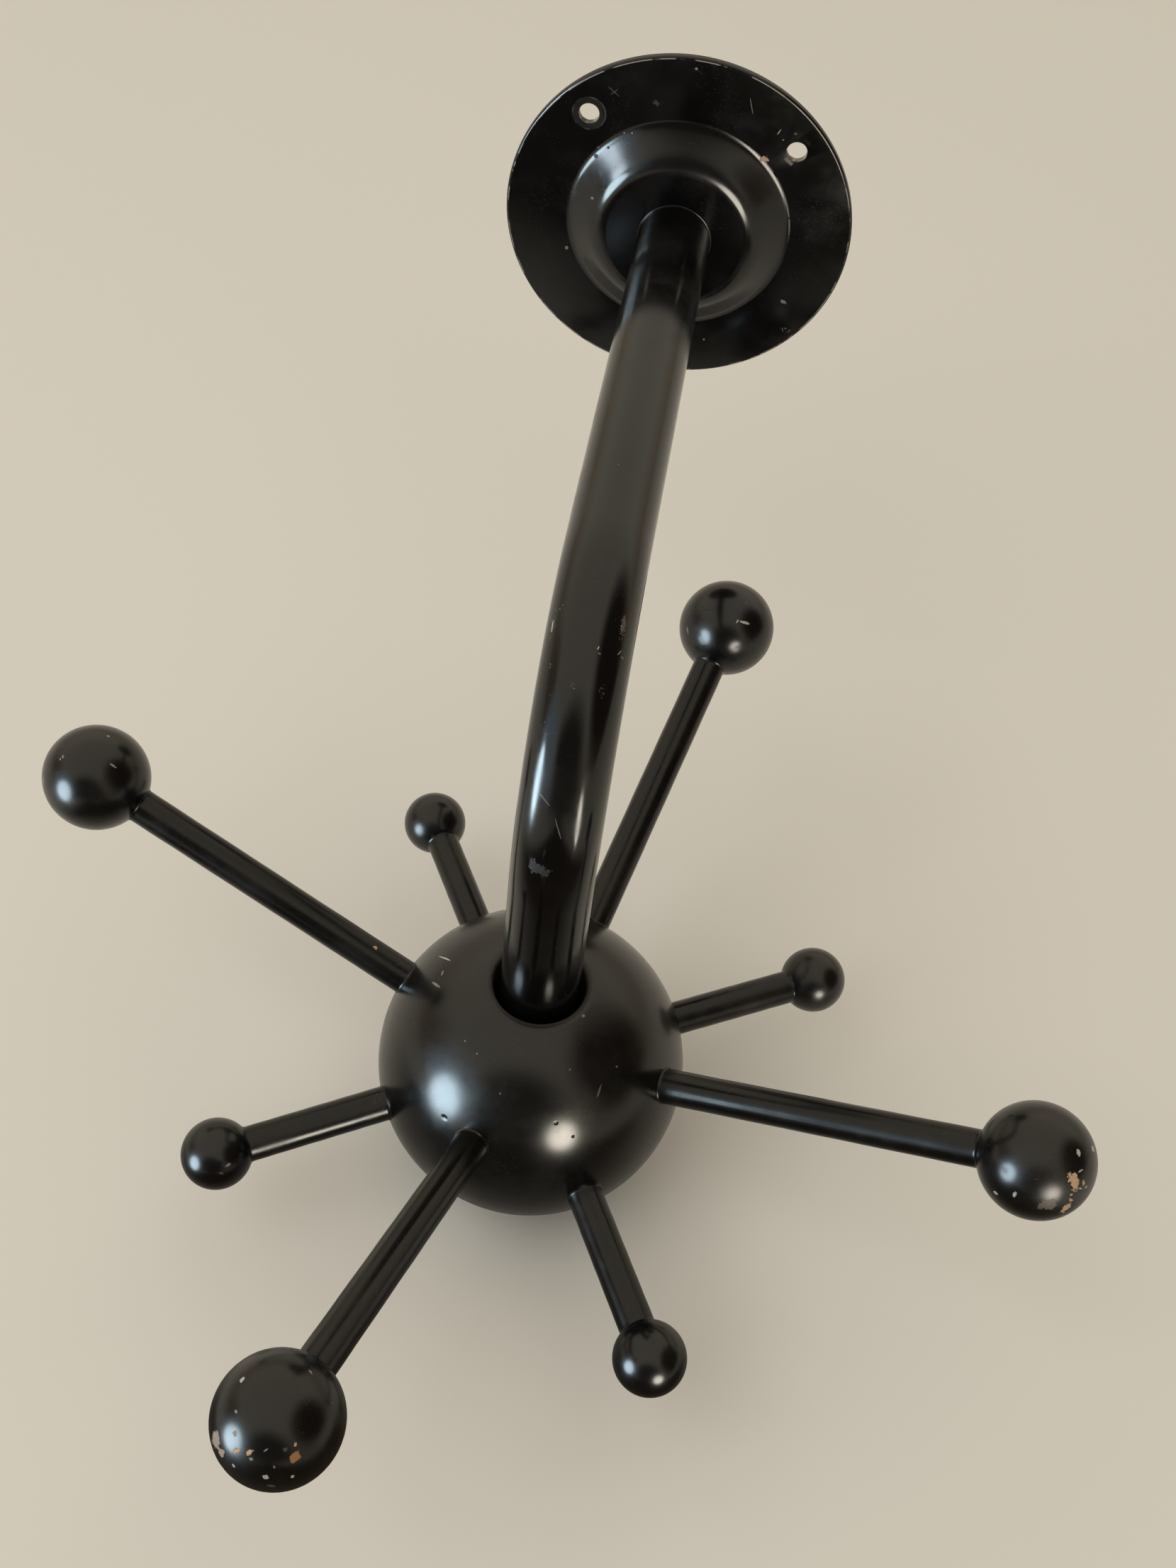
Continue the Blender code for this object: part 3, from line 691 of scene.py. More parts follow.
MARKS = {
    "large_knob_1": {
        "scratch": Mark(1059, 877.5, 15, 4.2, 15, "white nick"),
        "its left end": Mark(1048.6, 875.6, 6, 2.4, -50, "white nick"),
        "edge arc": Mark(978, 888.5, 11, 1.8, 80),
        "faint arc above": Mark(1061, 849, 7, 1.8, -60, "faint nick"),
    },
    "large_knob_2": {
        "nick at the left": Mark(81.6, 1062.8, 5, 3, 80),
        "nick beside it": Mark(78.1, 1066.2, 3, 2.4, 80),
        "right scratch": Mark(152.5, 1075.4, 11, 3.2, 35),
        "faint nick above": Mark(145.6, 1033.9, 4, 3),
        "edge wear": Mark(54, 1097, 12, 2.4, 92),
    },
    "large_knob_3": {
        "edge chip": Mark(304, 2038, 24, 11, 74, "pale wood"),
        "its lower end": Mark(312, 2054, 12, 8, 60, "pale wood"),
        "pale spot": Mark(331, 2027, 8, 5, 70, "pale wood"),
        "small chip": Mark(332.9, 2051.3, 10, 6.5, -30, "wood"),
        "chip beside it": Mark(350.9, 2053.3, 10, 7, -30, "wood"),
        "orange chip": Mark(415.2, 2060.7, 19, 14, -65, "orange wood"),
        "its tail": Mark(415.9, 2042.6, 6, 4, 90, "wood"),
        "high left nick": Mark(340.9, 1950.9, 11, 5, -60, "white nick"),
        "high right nick": Mark(438, 1940.2, 8, 3, 60),
        "low left nick": Mark(328.8, 2072.1, 6, 3, 60, "white nick"),
        "nick under the chips": Mark(353.6, 2062.7, 6, 4, 40),
        "long nick": Mark(374.4, 2050, 7, 2.4, -35),
        "nick below it": Mark(386.4, 2074, 4, 3, 90),
        "rub": Mark(374, 2088, 9, 6, 10, "white nick"),
        "second rub": Mark(411.9, 2087.5, 6, 4, -20, "white nick"),
        "edge nick": Mark(311, 2075, 9, 4, 55, "white nick"),
        "green nick": Mark(332.2, 1995.8, 5, 4, 60),
        "grey nick": Mark(401.8, 2049.3, 6, 5, 0, "faint nick"),
        "low grey nick": Mark(382.4, 2100.9, 12, 3, 5, "faint nick"),
    },
    "large_knob_4": {
        "tan chip": Mark(1513, 1657, 25, 14, 78, "wood"),
        "lower chip": Mark(1503, 1694, 15, 10, -60, "wood"),
        "small chip": Mark(1527, 1659, 7, 5, 80, "wood"),
        "chip between": Mark(1509, 1683, 7, 4, 30, "wood"),
        "nick above": Mark(1519.6, 1616.2, 11, 5, 80, "white nick"),
        "nick by the end": Mark(1540, 1610.7, 9, 3.5, 78, "white nick"),
        "high splinter": Mark(1522.4, 1642.3, 8, 2.6, -30, "white nick"),
        "splinter beside it": Mark(1530.3, 1665, 5, 3, -40, "white nick"),
        "splinter under it": Mark(1522.4, 1667, 5, 3, 20, "white nick"),
        "low splinter": Mark(1509.4, 1676, 5, 3, -20, "white nick"),
        "nick at the left": Mark(1429.4, 1675.6, 8, 5, -60, "white nick"),
        "pink nick": Mark(1402.5, 1673.2, 8, 5, 30, "white nick"),
        # A painted reflection: the warm highlight's dimmer lower part, as a tan patch
        "tan rub and painted reflection": Mark(1475, 1691.4, 26, 13, -8, "tan rub and painted reflection"),
    },
    "small_knob_2": {
        "scuff": Mark(318, 1643, 9, 4, -30),
        "scuff below": Mark(308, 1655, 7, 3, 20, "faint nick"),
    },
    "long_peg_2": {"pink chip": Mark(530, 1337, 7, 4, 30, "wood")},
    "hub": {
        "white scratch": Mark(628, 1352, 22, 2.4, 20, "white nick"),
        "scratch by the peg": Mark(615, 1389, 13, 4, 35),
        "short scratch": Mark(624, 1372.7, 8, 2.4, -70),
        "arc at the right": Mark(845, 1540, 20, 2.6, -72, "faint nick"),
        "speck 1": speck(656, 1468.6),
        "speck 2": speck(672.9, 1486.5),
        "speck 3": speck(705.4, 1542.8),
        "speck 4": speck(870, 1504.7),
        "speck 5": Mark(804, 1509, 4, 2, -60, "speck"),
        "bore speck 1": speck(797, 1434, 4, 3),
        "bore speck 2": speck(807, 1430, 4, 3),
        "bore speck 3": speck(823, 1433, 5, 4),
        "dent in the warm light": Mark(784.3, 1584.5, 8, 7, 0, "dent"),
        "small dent": Mark(808.7, 1603.5, 6, 5, 0, "dent"),
        "dent in the cool light": Mark(626.8, 1576.5, 13, 9, 30, "dent"),
    },
    "bent_arm": {
        "hairline 1": Mark(768, 1128, 42, 1.6, 52, "hairline"),
        "hairline 2": Mark(788, 1172, 48, 1.6, 74, "hairline"),
        "worn patch": Mark(758, 1226, 30, 13, 10, "rubbed patch"),
        "its upper point": Mark(752, 1217, 16, 8, 70, "rubbed patch"),
        "its right end": Mark(770, 1233, 14, 8, -40, "rubbed patch"),
        "scuff at the left": Mark(779, 884, 17, 2.2, -82, "white nick"),
        "dots round it": Mark(780, 880, 44, 9, -80, "scuff"),
        "tan rub and painted reflection by the scuff": Mark(880, 880, 26, 7, -82, "tan rub and painted reflection"),
        "dots in it": Mark(878, 890, 30, 9, -78, "scuff"),
        "middle curl": Mark(844, 914, 6, 1.8, -60, "white nick"),
        "curl below it": Mark(846, 922, 4, 1.6, 20, "nick"),
        "curl at the right": Mark(874, 921, 8, 2, -50, "nick"),
        "curl beside it": Mark(878, 928, 5, 1.8, 40, "nick"),
        "dots on the bend": Mark(806, 968, 16, 9, 0, "scuff"),
        "left dots": Mark(777, 938, 14, 6, -80, "scuff"),
        "low dots": Mark(850, 975, 20, 9, -80, "scuff"),
        "high dots": Mark(794, 857, 12, 7, -60, "scuff"),
    },
    "wall_plate": {
        "tan chip": Mark(1078, 224.2, 12, 9, 40, "wood"),
        "right hole's bare edge": Mark(1112.5, 227.5, 15, 6, 42, "bare steel"),
        "pit 1": Mark(840.9, 220.2, 6, 6, 0, "pit"),
        "pit 2": Mark(844.9, 208.2, 7, 5, 20, "pit"),
        "pit 3": Mark(858.2, 208.2, 4, 4, 0, "pit"),
        "top speck": speck(982.5, 97.1, 4.5, 4),
        "left speck": speck(799.5, 349.5, 5, 5),
        "speck on the dome": speck(835.3, 279.5, 4, 4),
        "short scratch": Mark(1099, 186.5, 10, 1.3, -55, "white nick"),
        "speck by it": speck(1105, 197.5, 3, 2.4),
        "speck over the hole": Mark(1122.5, 189, 4, 3, 0, "faint nick"),
        "steep scratch": Mark(1060.3, 150, 25, 1.1, 80, "hairline"),
        "crossed scratch": Mark(865.8, 129, 22, 1.1, 42, "faint hairline"),
        "its cross": Mark(866, 130, 14, 1.0, -35, "faint hairline"),
        "smudge": Mark(926, 145, 11, 6, 20, "smudge"),
        "low scuff": Mark(1105, 425.8, 10, 4, 30),
        "foot scuff": Mark(1108.6, 466.3, 15, 8, 15, "scuff"),
        "speck low": speck(992.8, 478.9, 3.4, 3),
        "speck by the left hole": speck(880.7, 187.7),
        "speck beside it": speck(891.7, 187.7),
    },
}

# Where each marked knob's middle is seen, so that its marks keep their places on it
KNOB_MIDDLES_SEEN = {
    "large_knob_1": (1033, 885),
    "large_knob_2": (130, 1092),
    "large_knob_3": (392, 2006),
    "large_knob_4": (1460, 1627),
    "small_knob_2": (302, 1627),
}
MARK_TILT_LIMIT = 0.3


def pixel_of(point):
    """The pixel of the photograph at which a point is seen."""
    offset = point - CAMERA_PLACE
    ahead = offset.dot(CAMERA_AHEAD)
    across = PHOTO_WIDTH / 2 + FOCAL_PIXELS * offset.dot(CAMERA_RIGHT) / ahead
    down = PHOTO_HEIGHT / 2 - FOCAL_PIXELS * offset.dot(CAMERA_UP) / ahead
    return across, down


def sight_line(across, down):
    """The direction in which the camera sees a pixel of the photograph."""
    right = (across - PHOTO_WIDTH / 2) / FOCAL_PIXELS
    up = (PHOTO_HEIGHT / 2 - down) / FOCAL_PIXELS
    return (CAMERA_AHEAD + CAMERA_RIGHT * right + CAMERA_UP * up).normalized()


def seen_point(piece, across, down):
    """The point of the piece that a pixel shows, or the nearest one, and the way out, in the rack's frame."""
    into = piece.matrix_world.inverted()
    line = sight_line(across, down)
    found, place, out, _ = piece.ray_cast(into @ CAMERA_PLACE, into.to_3x3() @ line)
    if not found:
        middle = piece.matrix_world @ (sum((Vector(c) for c in piece.bound_box), Vector()) / 8)
        beside = CAMERA_PLACE + line * (middle - CAMERA_PLACE).dot(line)
        _, place, out, _ = piece.closest_point_on_mesh(into @ beside)
    return piece.matrix_world @ place, (piece.matrix_world.to_3x3() @ out).normalized()


def placed_mark(piece, mark):
    """The mark's centre, length direction and half sizes, in the piece's own frame."""
    shift = (0, 0)
    if piece.name in KNOB_MIDDLES_SEEN:
        seen = KNOB_MIDDLES_SEEN[piece.name]
        made = pixel_of(piece.matrix_world.translation)
        shift = (made[0] - seen[0], made[1] - seen[1])
    place, out = seen_point(piece, mark.across + shift[0], mark.down + shift[1])
    scale = (place - CAMERA_PLACE).dot(CAMERA_AHEAD) / FOCAL_PIXELS
    turn = radians(mark.turn)
    in_view = CAMERA_RIGHT * cos(turn) - CAMERA_UP * sin(turn)
    line = (place - CAMERA_PLACE).normalized()
    lean = min(line.dot(out), -MARK_TILT_LIMIT)
    on_surface = in_view - line * (in_view.dot(out) / lean)
    on_surface -= out * on_surface.dot(out)
    cross = out.cross(on_surface).normalized()
    cross_in_view = cross - line * cross.dot(line)
    half_length = mark.length / 2 * scale * on_surface.length
    half_width = mark.width / 2 * scale / max(cross_in_view.length, MARK_TILT_LIMIT)
    into = piece.matrix_world.inverted()
    along = (into.to_3x3() @ on_surface).normalized()
    return into @ place, along, half_length, half_width


def marks_of(piece, kind):
    return [mark for mark in MARKS.get(piece.name, {}).values() if mark.kind == kind]


def spot_masks(recipe, place, piece, kind_name, raggedness):
    """The masks of the piece's marks of one kind, joined in one, and their hollows."""
    mask, hollow = 0.0, 0.0
    for mark in marks_of(piece, kind_name):
        centre, along, half_length, half_width = placed_mark(piece, mark)
        inputs = {
            "Place": place,
            "Centre": centre,
            "Along": along,
            "Half Length": half_length,
            "Half Width": half_width,
            "Raggedness": raggedness,
        }
        spot = recipe.group("Spot", inputs)
        mask = recipe.sum("MAXIMUM", spot["Mask"], mask)
        hollow = recipe.sum("MAXIMUM", spot["Hollow"], hollow)
    return mask, hollow


# Marks by kind: two shades, roughness, depth in millimetres, how ragged, and whether broken up in fine dots
MarkKind = namedtuple("MarkKind", "dark light roughness depth raggedness dotted", defaults=(False,))
MARK_KINDS = {
    "wood": MarkKind((0.46, 0.28, 0.16), (0.74, 0.52, 0.34), 0.75, 0.14, 1.5),
    "pale wood": MarkKind((0.27, 0.21, 0.16), (0.42, 0.34, 0.27), 0.75, 0.14, 1.4),
    "orange wood": MarkKind((0.29, 0.13, 0.05), (0.46, 0.23, 0.09), 0.75, 0.14, 1.2),
    "nick": MarkKind((0.12, 0.12, 0.11), (0.32, 0.31, 0.29), 0.5, 0.03, 1.2),
    "white nick": MarkKind((0.30, 0.30, 0.28), (0.62, 0.61, 0.57), 0.5, 0.03, 0.8),
    "faint nick": MarkKind((0.03, 0.03, 0.03), (0.10, 0.10, 0.10), 0.5, 0.015, 1.5),
    "speck": MarkKind((0.10, 0.10, 0.09), (0.24, 0.23, 0.21), 0.5, 0, 0.5),
    "hairline": MarkKind((0.08, 0.08, 0.08), (0.20, 0.20, 0.19), 0.4, 0.008, 0.5),
    "faint hairline": MarkKind((0.03, 0.03, 0.03), (0.07, 0.07, 0.07), 0.4, 0.006, 0.4),
    # A tan rub on the tube, and on large_knob_4 a painted reflection under the warm highlight
    "tan rub and painted reflection": MarkKind((0.05, 0.035, 0.028), (0.15, 0.10, 0.08), 0.5, 0.01, 1.4),
    "scuff": MarkKind((0.10, 0.10, 0.10), (0.34, 0.34, 0.33), 0.45, 0.01, 1.0, True),
    "rubbed patch": MarkKind((0.018, 0.021, 0.024), (0.046, 0.053, 0.060), 0.5, 0.004, 1.6),
    "bare steel": MarkKind((0.07, 0.055, 0.04), (0.24, 0.20, 0.15), 0.55, 0.03, 1.0),
    "smudge": MarkKind((0.008, 0.008, 0.008), (0.020, 0.020, 0.020), 0.4, 0, 1.8),
    "pit": MarkKind((0.003, 0.003, 0.003), (0.005, 0.005, 0.005), 0.6, 0.14, 0.3),
}

# Other wear: depths in millimetres, and how ragged
ROUGH_EDGE_DEPTH = 0.08
DENT_DEPTH = 0.12
DENT_RAGGEDNESS = 0.15

# Wear and painted highlights: colours, and where the plate's lines run
FAINT_NICK_COLOUR = (0.05, 0.05, 0.05)
SPECK_COLOUR = (0.20, 0.19, 0.17)
BARE_STEEL = ((0.05, 0.04, 0.03), (0.46, 0.40, 0.31))
HEAD_MARK_RADIUS = 4.9 * MM
RIM_LINE_SHARE = 0.8
CREASE_LINE_OFFSET = 0.1 * MM
# The dome's worn side: its middle, round from the plate's right, and the cosines between which it fades in
CREASE_WEAR_ANGLE = 0.52
CREASE_WEAR_FADE = (0.86, 0.95)

# Lines where the paint is thin or gone, and painted highlights round the rim and at the pegs' feet: half
# width, breaks to the metre, share kept, roughness and colour
WornAndHighlightLine = namedtuple("WornAndHighlightLine", "half_width breaks kept roughness colour", defaults=(None,))
WORN_AND_HIGHLIGHT_LINES = {
    "head mark": WornAndHighlightLine(1.6 * MM, 400, 1.0, 0.32, (0.0052, 0.0050, 0.0050)),
    "head mark's edge": WornAndHighlightLine(0.2 * MM, 240, 0.5, 0.45, FAINT_NICK_COLOUR),
    "hole": WornAndHighlightLine(0.16 * MM, 700, 1.0, 0.55),
    # Partly edge wear, partly a painted highlight on the rim's rounding
    "rim": WornAndHighlightLine(0.19 * MM, 150, 0.6, 0.4, (0.34, 0.32, 0.28)),
    "dome's foot": WornAndHighlightLine(0.3 * MM, 300, 0.75, 0.4, (0.16, 0.15, 0.13)),
    "bore's edge": WornAndHighlightLine(BORE_EDGE_ROUND, 900, 0.9, 0.6, (0.035, 0.032, 0.028)),
    # A painted highlight: the paint's fillet at a peg's foot catching the light
    "peg's foot": WornAndHighlightLine(0.2 * MM, 260, 0.3, 0.4, (0.12, 0.115, 0.10)),
}

# Paints: colour and roughness, each also where dulled, the skin's fine peel and waves in millimetres, the
# waves and specks there are, and the strength of the shine
FINISH_PARTS = "colour dull_colour gloss dull peel waves waves_per_metre speck_share shine"
Finish = namedtuple("Finish", FINISH_PARTS, defaults=(0.5,))
FINISHES = {
    "flange": Finish((0.0026, 0.0025, 0.0029), (0.005, 0.005, 0.006), 0.13, 0.22, 0.0006, 0.008, 60, 0.10),
    "arm": Finish((0.0028, 0.0027, 0.0027), (0.006, 0.006, 0.006), 0.13, 0.24, 0.0008, 0.010, 70, 0.16),
    "hub": Finish((0.0030, 0.0027, 0.0025), (0.006, 0.0055, 0.005), 0.21, 0.30, 0.0007, 0.018, 80, 0.05),
    "peg": Finish((0.0034, 0.003, 0.0026), (0.007, 0.006, 0.005), 0.22, 0.34, 0.0026, 0.016, 160, 0.06, 0.36),
    "knob": Finish((0.0028, 0.0025, 0.0023), (0.006, 0.005, 0.0045), 0.23, 0.33, 0.0014, 0.018, 130, 0.08),
}

# How the patterns show: shifted from piece to piece, how strong and rough, and how fine those of the marks
PATTERN_STEPS = (0.37, 0.21, 0.53)
HAIRLINE_TURNS = ((0.3, 0.5, 0.2), (1.1, 0.2, 1.3))
HAIRLINE_STRENGTH = 0.3
HAIRLINE_ROUGHNESS = 0.4
SPECK_ROUGHNESS = 0.5
DOTS_PER_METRE = 2800
DOT_FADE = (0.60, 0.68)
SHADES_PER_METRE = 1100
STEEL_SHADES_PER_METRE = 420
STEEL_SHADE_FADE = (0.35, 0.65)


class Paint:
    """The colour, roughness and height of a piece's paint, changed by one mark after another."""

    def __init__(self, recipe, colour, roughness, height):
        self.recipe = recipe
        self.colour = colour
        self.roughness = roughness
        self.height = height

    def mark(self, mask, colour, roughness, depth=0):
        self.colour = self.recipe.blend(mask, self.colour, colour)
        self.roughness = self.recipe.between(mask, self.roughness, roughness)
        if depth:
            self.height = self.recipe.sum("MULTIPLY_ADD", mask, -depth, self.height)


def ring_distance(recipe, place, middle, radius):
    """How far a place is from a ring about the piece's own Z."""
    level = recipe.vector("MULTIPLY", recipe.vector("SUBTRACT", place, middle), (1, 1, 0))
    reach = recipe.length(level)
    return recipe.sum("ABSOLUTE", recipe.sum("SUBTRACT", reach, radius))


def wear_and_highlight_line(recipe, place, distance, line):
    inputs = {
        "Place": place,
        "Distance": distance,
        "Half Width": line.half_width,
        "Breaks Per Metre": line.breaks,
        "Kept Share": line.kept,
    }
    return recipe.group("Wear and highlight line", inputs)["Mask"]


def plate_wear_and_rim_highlight(paint, recipe, place):
    """Bare steel in the screw holes, a screw head's mark round one, a worn line at the dome's foot, and a rim
    line of wear and painted highlight.
    """

    def wear_and_highlight_ring(name, middle, radius, colour=None, side=None):
        line = WORN_AND_HIGHLIGHT_LINES[name]
        mask = wear_and_highlight_line(recipe, place, ring_distance(recipe, place, middle, radius), line)
        if side is not None:
            mask = recipe.times(mask, side)
        paint.mark(mask, line.colour if colour is None else colour, line.roughness)

    ways = [Vector((cos(angle), sin(angle), 0)) for angle in SCREW_HOLE_ANGLES]
    holes = [SCREW_HOLE_CIRCLE_RADIUS * way for way in ways]
    left_hole = holes[1]
    wear_and_highlight_ring("head mark", left_hole, HEAD_MARK_RADIUS / 2 + SCREW_HOLE_RADIUS / 2)
    wear_and_highlight_ring("head mark's edge", left_hole, HEAD_MARK_RADIUS)
    grain = recipe.noise(place, STEEL_SHADES_PER_METRE, detail=3.0)
    steel = recipe.blend(recipe.spread(grain, *STEEL_SHADE_FADE), *BARE_STEEL)
    for middle in holes:
        wear_and_highlight_ring("hole", middle, SCREW_HOLE_RADIUS, steel)
    # A pale broken line round the rim: partly edge wear, partly a painted highlight on its rounding
    wear_and_highlight_ring("rim", (0, 0, 0), FLANGE_RADIUS - FLANGE_EDGE_ROUND * RIM_LINE_SHARE)
    worn_way = (cos(CREASE_WEAR_ANGLE), sin(CREASE_WEAR_ANGLE), 0)
    lean = recipe.dot(recipe.vector("NORMALIZE", place), worn_way)
    side = recipe.spread(lean, *CREASE_WEAR_FADE)
    wear_and_highlight_ring("dome's foot", (0, 0, 0), DOME_RADIUS + CREASE_LINE_OFFSET, side=side)


def wear_hub(paint, recipe, place):
    """The rough edge of the bore, where the paint is thin and broken."""
    line = WORN_AND_HIGHLIGHT_LINES["bore's edge"]
    edge = ring_distance(recipe, place, (0, 0, 0), HUB_BORE_RADIUS + BORE_EDGE_ROUND / 3)
    upper = recipe.sum("GREATER_THAN", recipe.height(place), 0.0)
    near = wear_and_highlight_line(recipe, place, edge, line)
    paint.mark(recipe.times(near, upper), line.colour, line.roughness, ROUGH_EDGE_DEPTH)


def painted_peg_foot_highlight(paint, recipe, place):
    """A painted highlight: a thin broken pale line at the peg's foot, on the hub, where its fillet of paint
    catches the light.
    """
    line = WORN_AND_HIGHLIGHT_LINES["peg's foot"]
    foot = sqrt(HUB_RADIUS**2 - ROD_RADIUS**2) + PAINT_FILLET / 2
    distance = recipe.sum("ABSOLUTE", recipe.sum("SUBTRACT", recipe.height(place), foot))
    paint.mark(wear_and_highlight_line(recipe, place, distance, line), line.colour, line.roughness)


def painted(piece, finish_name, seed):
    """The piece's own paint, with its wear, its painted highlights and reflection, and its marks."""
    finish = FINISHES[finish_name]
    material, recipe, shader, place = start_material(f"{piece.name} paint")
    pattern_place = recipe.vector("ADD", place, tuple(seed * step for step in PATTERN_STEPS))
    skin_inputs = {
        "Place": pattern_place,
        "Peel": finish.peel,
        "Waves": finish.waves,
        "Waves Per Metre": finish.waves_per_metre,
    }
    skin = recipe.group("Paint skin", skin_inputs)
    colour = recipe.blend(skin["Dullness"], finish.colour, finish.dull_colour)
    roughness = recipe.spread(skin["Dullness"], 0.0, 1.0, finish.gloss, finish.dull)
    paint = Paint(recipe, colour, roughness, skin["Height"])
    for turn in HAIRLINE_TURNS:
        hair = recipe.group("Hairlines", {"Place": pattern_place, "Turn": turn})["Mask"]
        paint.mark(recipe.times(hair, HAIRLINE_STRENGTH), FAINT_NICK_COLOUR, HAIRLINE_ROUGHNESS)
    specks = recipe.group("Specks", {"Place": pattern_place, "Chosen Share": finish.speck_share})["Mask"]
    paint.mark(specks, SPECK_COLOUR, SPECK_ROUGHNESS)
    if piece.name in WEAR_AND_PAINTED_HIGHLIGHTS:
        WEAR_AND_PAINTED_HIGHLIGHTS[piece.name](paint, recipe, place)
    for kind_name, kind in MARK_KINDS.items():
        if marks_of(piece, kind_name):
            mask, _ = spot_masks(recipe, place, piece, kind_name, kind.raggedness)
            if kind.dotted:
                dots = recipe.noise(pattern_place, DOTS_PER_METRE, detail=1.0)
                mask = recipe.times(mask, recipe.spread(dots, *DOT_FADE))
            grain = recipe.noise(pattern_place, SHADES_PER_METRE, detail=3.0)
            paint.mark(mask, recipe.blend(grain, kind.dark, kind.light), kind.roughness, kind.depth)
    if marks_of(piece, "dent"):
        _, hollow = spot_masks(recipe, place, piece, "dent", DENT_RAGGEDNESS)
        paint.height = recipe.sum("MULTIPLY_ADD", hollow, -DENT_DEPTH, paint.height)
    bump = recipe.add("ShaderNodeBump", {"Distance": MM, "Height": paint.height})
    values = {
        "Base Color": paint.colour,
        "Roughness": paint.roughness,
        "Specular IOR Level": finish.shine,
        "Normal": bump.outputs[0],
    }
    recipe.fill(shader, values)
    dress(piece, material)


# Wear on the plate and the hub, with painted highlights round the plate's rim and at two pegs' feet
WEAR_AND_PAINTED_HIGHLIGHTS = {"wall_plate": plate_wear_and_rim_highlight, "hub": wear_hub, "long_peg_2": painted_peg_foot_highlight, "long_peg_3": painted_peg_foot_highlight}

# Metals of the CAD's own nodes: dark and light shade, and roughness, with fine turning marks and tarnish
TURNING_DEPTH = 0.01 * MM
TURNINGS_PER_METRE = 2600
TARNISH_PER_METRE = 220
TARNISH_FADE = (0.3, 0.7)
TARNISH_ROUGHNESS = 0.12
PLAIN_STEEL = ((0.36, 0.36, 0.35), (0.48, 0.48, 0.47))
BLACK_STEEL = ((0.07, 0.07, 0.07), (0.13, 0.13, 0.13))
BRASS = ((0.48, 0.32, 0.11), (0.64, 0.46, 0.19))
METALS = {
    "end_plug": (PLAIN_STEEL, 0.42),
    "head_washer": (PLAIN_STEEL, 0.38),
    "pivot_bolt": (BLACK_STEEL, 0.38),
    "thrust_washer": (BRASS, 0.38),
    "pivot_bush": (BRASS, 0.34),
}


def turned_metal(node_name, shades, polish):
    """Turned metal on one of the CAD's own nodes: fine rings round the hub's axis, and a little tarnish."""
    material, recipe, shader, place = start_material(f"{node_name} metal")
    from_axis = recipe.vector("SUBTRACT", place, HUB_CENTRE)
    level = recipe.vector("MULTIPLY", from_axis, (1, 1, 0))
    ring = recipe.length(level)
    across = recipe.sum("ADD", ring, recipe.height(from_axis))
    ring_place = recipe.add("ShaderNodeCombineXYZ", {0: across}).outputs[0]
    rings = recipe.noise(ring_place, TURNINGS_PER_METRE, detail=1.0)
    tarnish = recipe.noise(place, TARNISH_PER_METRE, detail=4.0, roughness=0.6)
    colour = recipe.blend(tarnish, *shades)
    roughness = recipe.spread(tarnish, *TARNISH_FADE, polish + TARNISH_ROUGHNESS, polish)
    bump = recipe.add("ShaderNodeBump", {"Distance": TURNING_DEPTH, "Height": rings})
    values = {"Base Color": colour, "Roughness": roughness, "Metallic": 1.0, "Normal": bump.outputs[0]}
    recipe.fill(shader, values)
    dress(frame["nodes"][node_name], material)


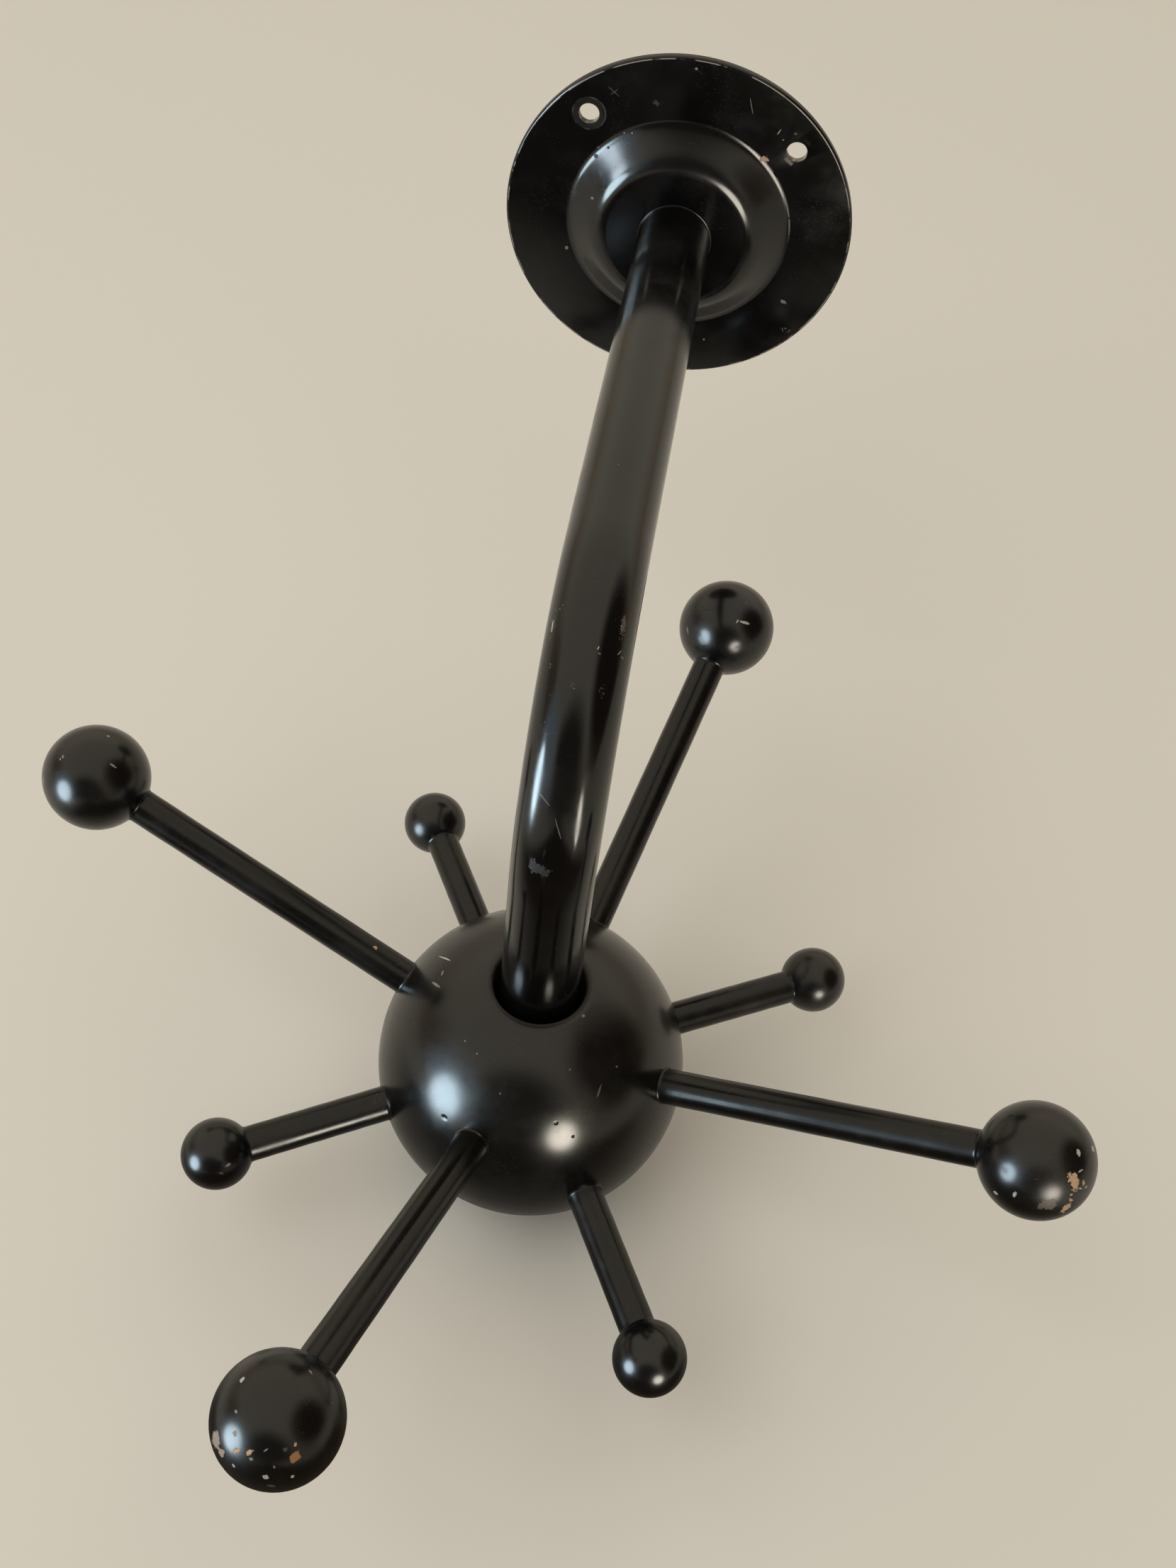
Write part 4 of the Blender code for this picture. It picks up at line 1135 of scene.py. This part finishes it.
def make_floor():
    """A plain pale floor at the hub's foot, with painted shade in front that only the gloss sees, faded far
    off for the camera.
    """
    shape = bmesh.new()
    bmesh.ops.create_grid(shape, x_segments=2, y_segments=2, size=FLOOR_REACH)
    floor = new_piece("floor", shape)
    floor.location = (0, 0, cad_bounds[0].z)
    material, recipe, shader, place = start_material("pale floor")
    sides = recipe.add("ShaderNodeSeparateXYZ", {0: place}).outputs
    ahead = recipe.spread(sides["Y"], FLOOR_SHADE_START, FLOOR_SHADE_FULL)
    beside = recipe.sum("ABSOLUTE", sides["X"])
    middle = recipe.spread(beside, FLOOR_SHADE_END, FLOOR_SHADE_HALF_WIDTH)
    ray = recipe.add("ShaderNodeLightPath").outputs
    # Painted shade, seen only in reflections
    shade = recipe.times(recipe.times(ahead, middle), ray["Is Glossy Ray"])
    far = recipe.spread(recipe.length(place), FLOOR_FADE_START, FLOOR_FADE_END)
    fade = recipe.times(far, ray["Is Camera Ray"])
    colour = recipe.blend(shade, FLOOR_COLOUR, FLOOR_SHADE_COLOUR)
    values = {
        "Base Color": recipe.blend(fade, colour, (0, 0, 0)),
        "Roughness": FLOOR_ROUGHNESS,
        "Specular IOR Level": 0.0,
        "Emission Color": BACKDROP_COLOUR,
        "Emission Strength": fade,
    }
    recipe.fill(shader, values)
    dress(floor, material)


def make_room():
    """The room's light by direction. The camera itself sees a plain pale backdrop."""
    world = bpy.data.worlds.new("room")
    scene.world = world
    world.use_nodes = True
    recipe = Recipe(world.node_tree)
    towards = recipe.add("ShaderNodeTexCoord").outputs["Generated"]
    overhead = recipe.spread(recipe.height(towards), *ROOM_RISE)
    colour = recipe.blend(overhead, HORIZON_COLOUR, OVERHEAD_COLOUR)
    for shade in ROOM_SHADES.values():
        nearness = recipe.dot(towards, Vector(shade.towards).normalized())
        cover = recipe.spread(nearness, cos(radians(shade.outer)), cos(radians(shade.inner)))
        colour = recipe.blend(cover, colour, shade.colour)
    seen = recipe.add("ShaderNodeLightPath").outputs["Is Camera Ray"]
    colour = recipe.blend(seen, colour, BACKDROP_COLOUR)
    recipe.fill(world.node_tree.nodes["Background"], {"Color": colour})


scene.view_settings.view_transform = "Standard"
make_camera()
make_floor()
make_room()

plate = make_wall_plate()
bead = make_weld_bead()
arm = make_bent_arm()
hub = make_hub()
pegs = make_pegs()
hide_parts("wall_flange")
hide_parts("arm_tube")
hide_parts("hub_ball")
bpy.context.view_layer.update()

make_soft_boxes()
make_groups()
painted(plate, "flange", 1)
painted(bead, "flange", 2)
painted(arm, "arm", 3)
painted(hub, "hub", 4)
for seed, piece in enumerate(pegs.values(), 5):
    painted(piece, "peg" if "peg" in piece.name else "knob", seed)
for node_name, (shades, polish) in METALS.items():
    turned_metal(node_name, shades, polish)

for piece in (plate, bead, arm):
    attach(piece, "arm")
for piece in (hub, *pegs.values()):
    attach(piece, "head")
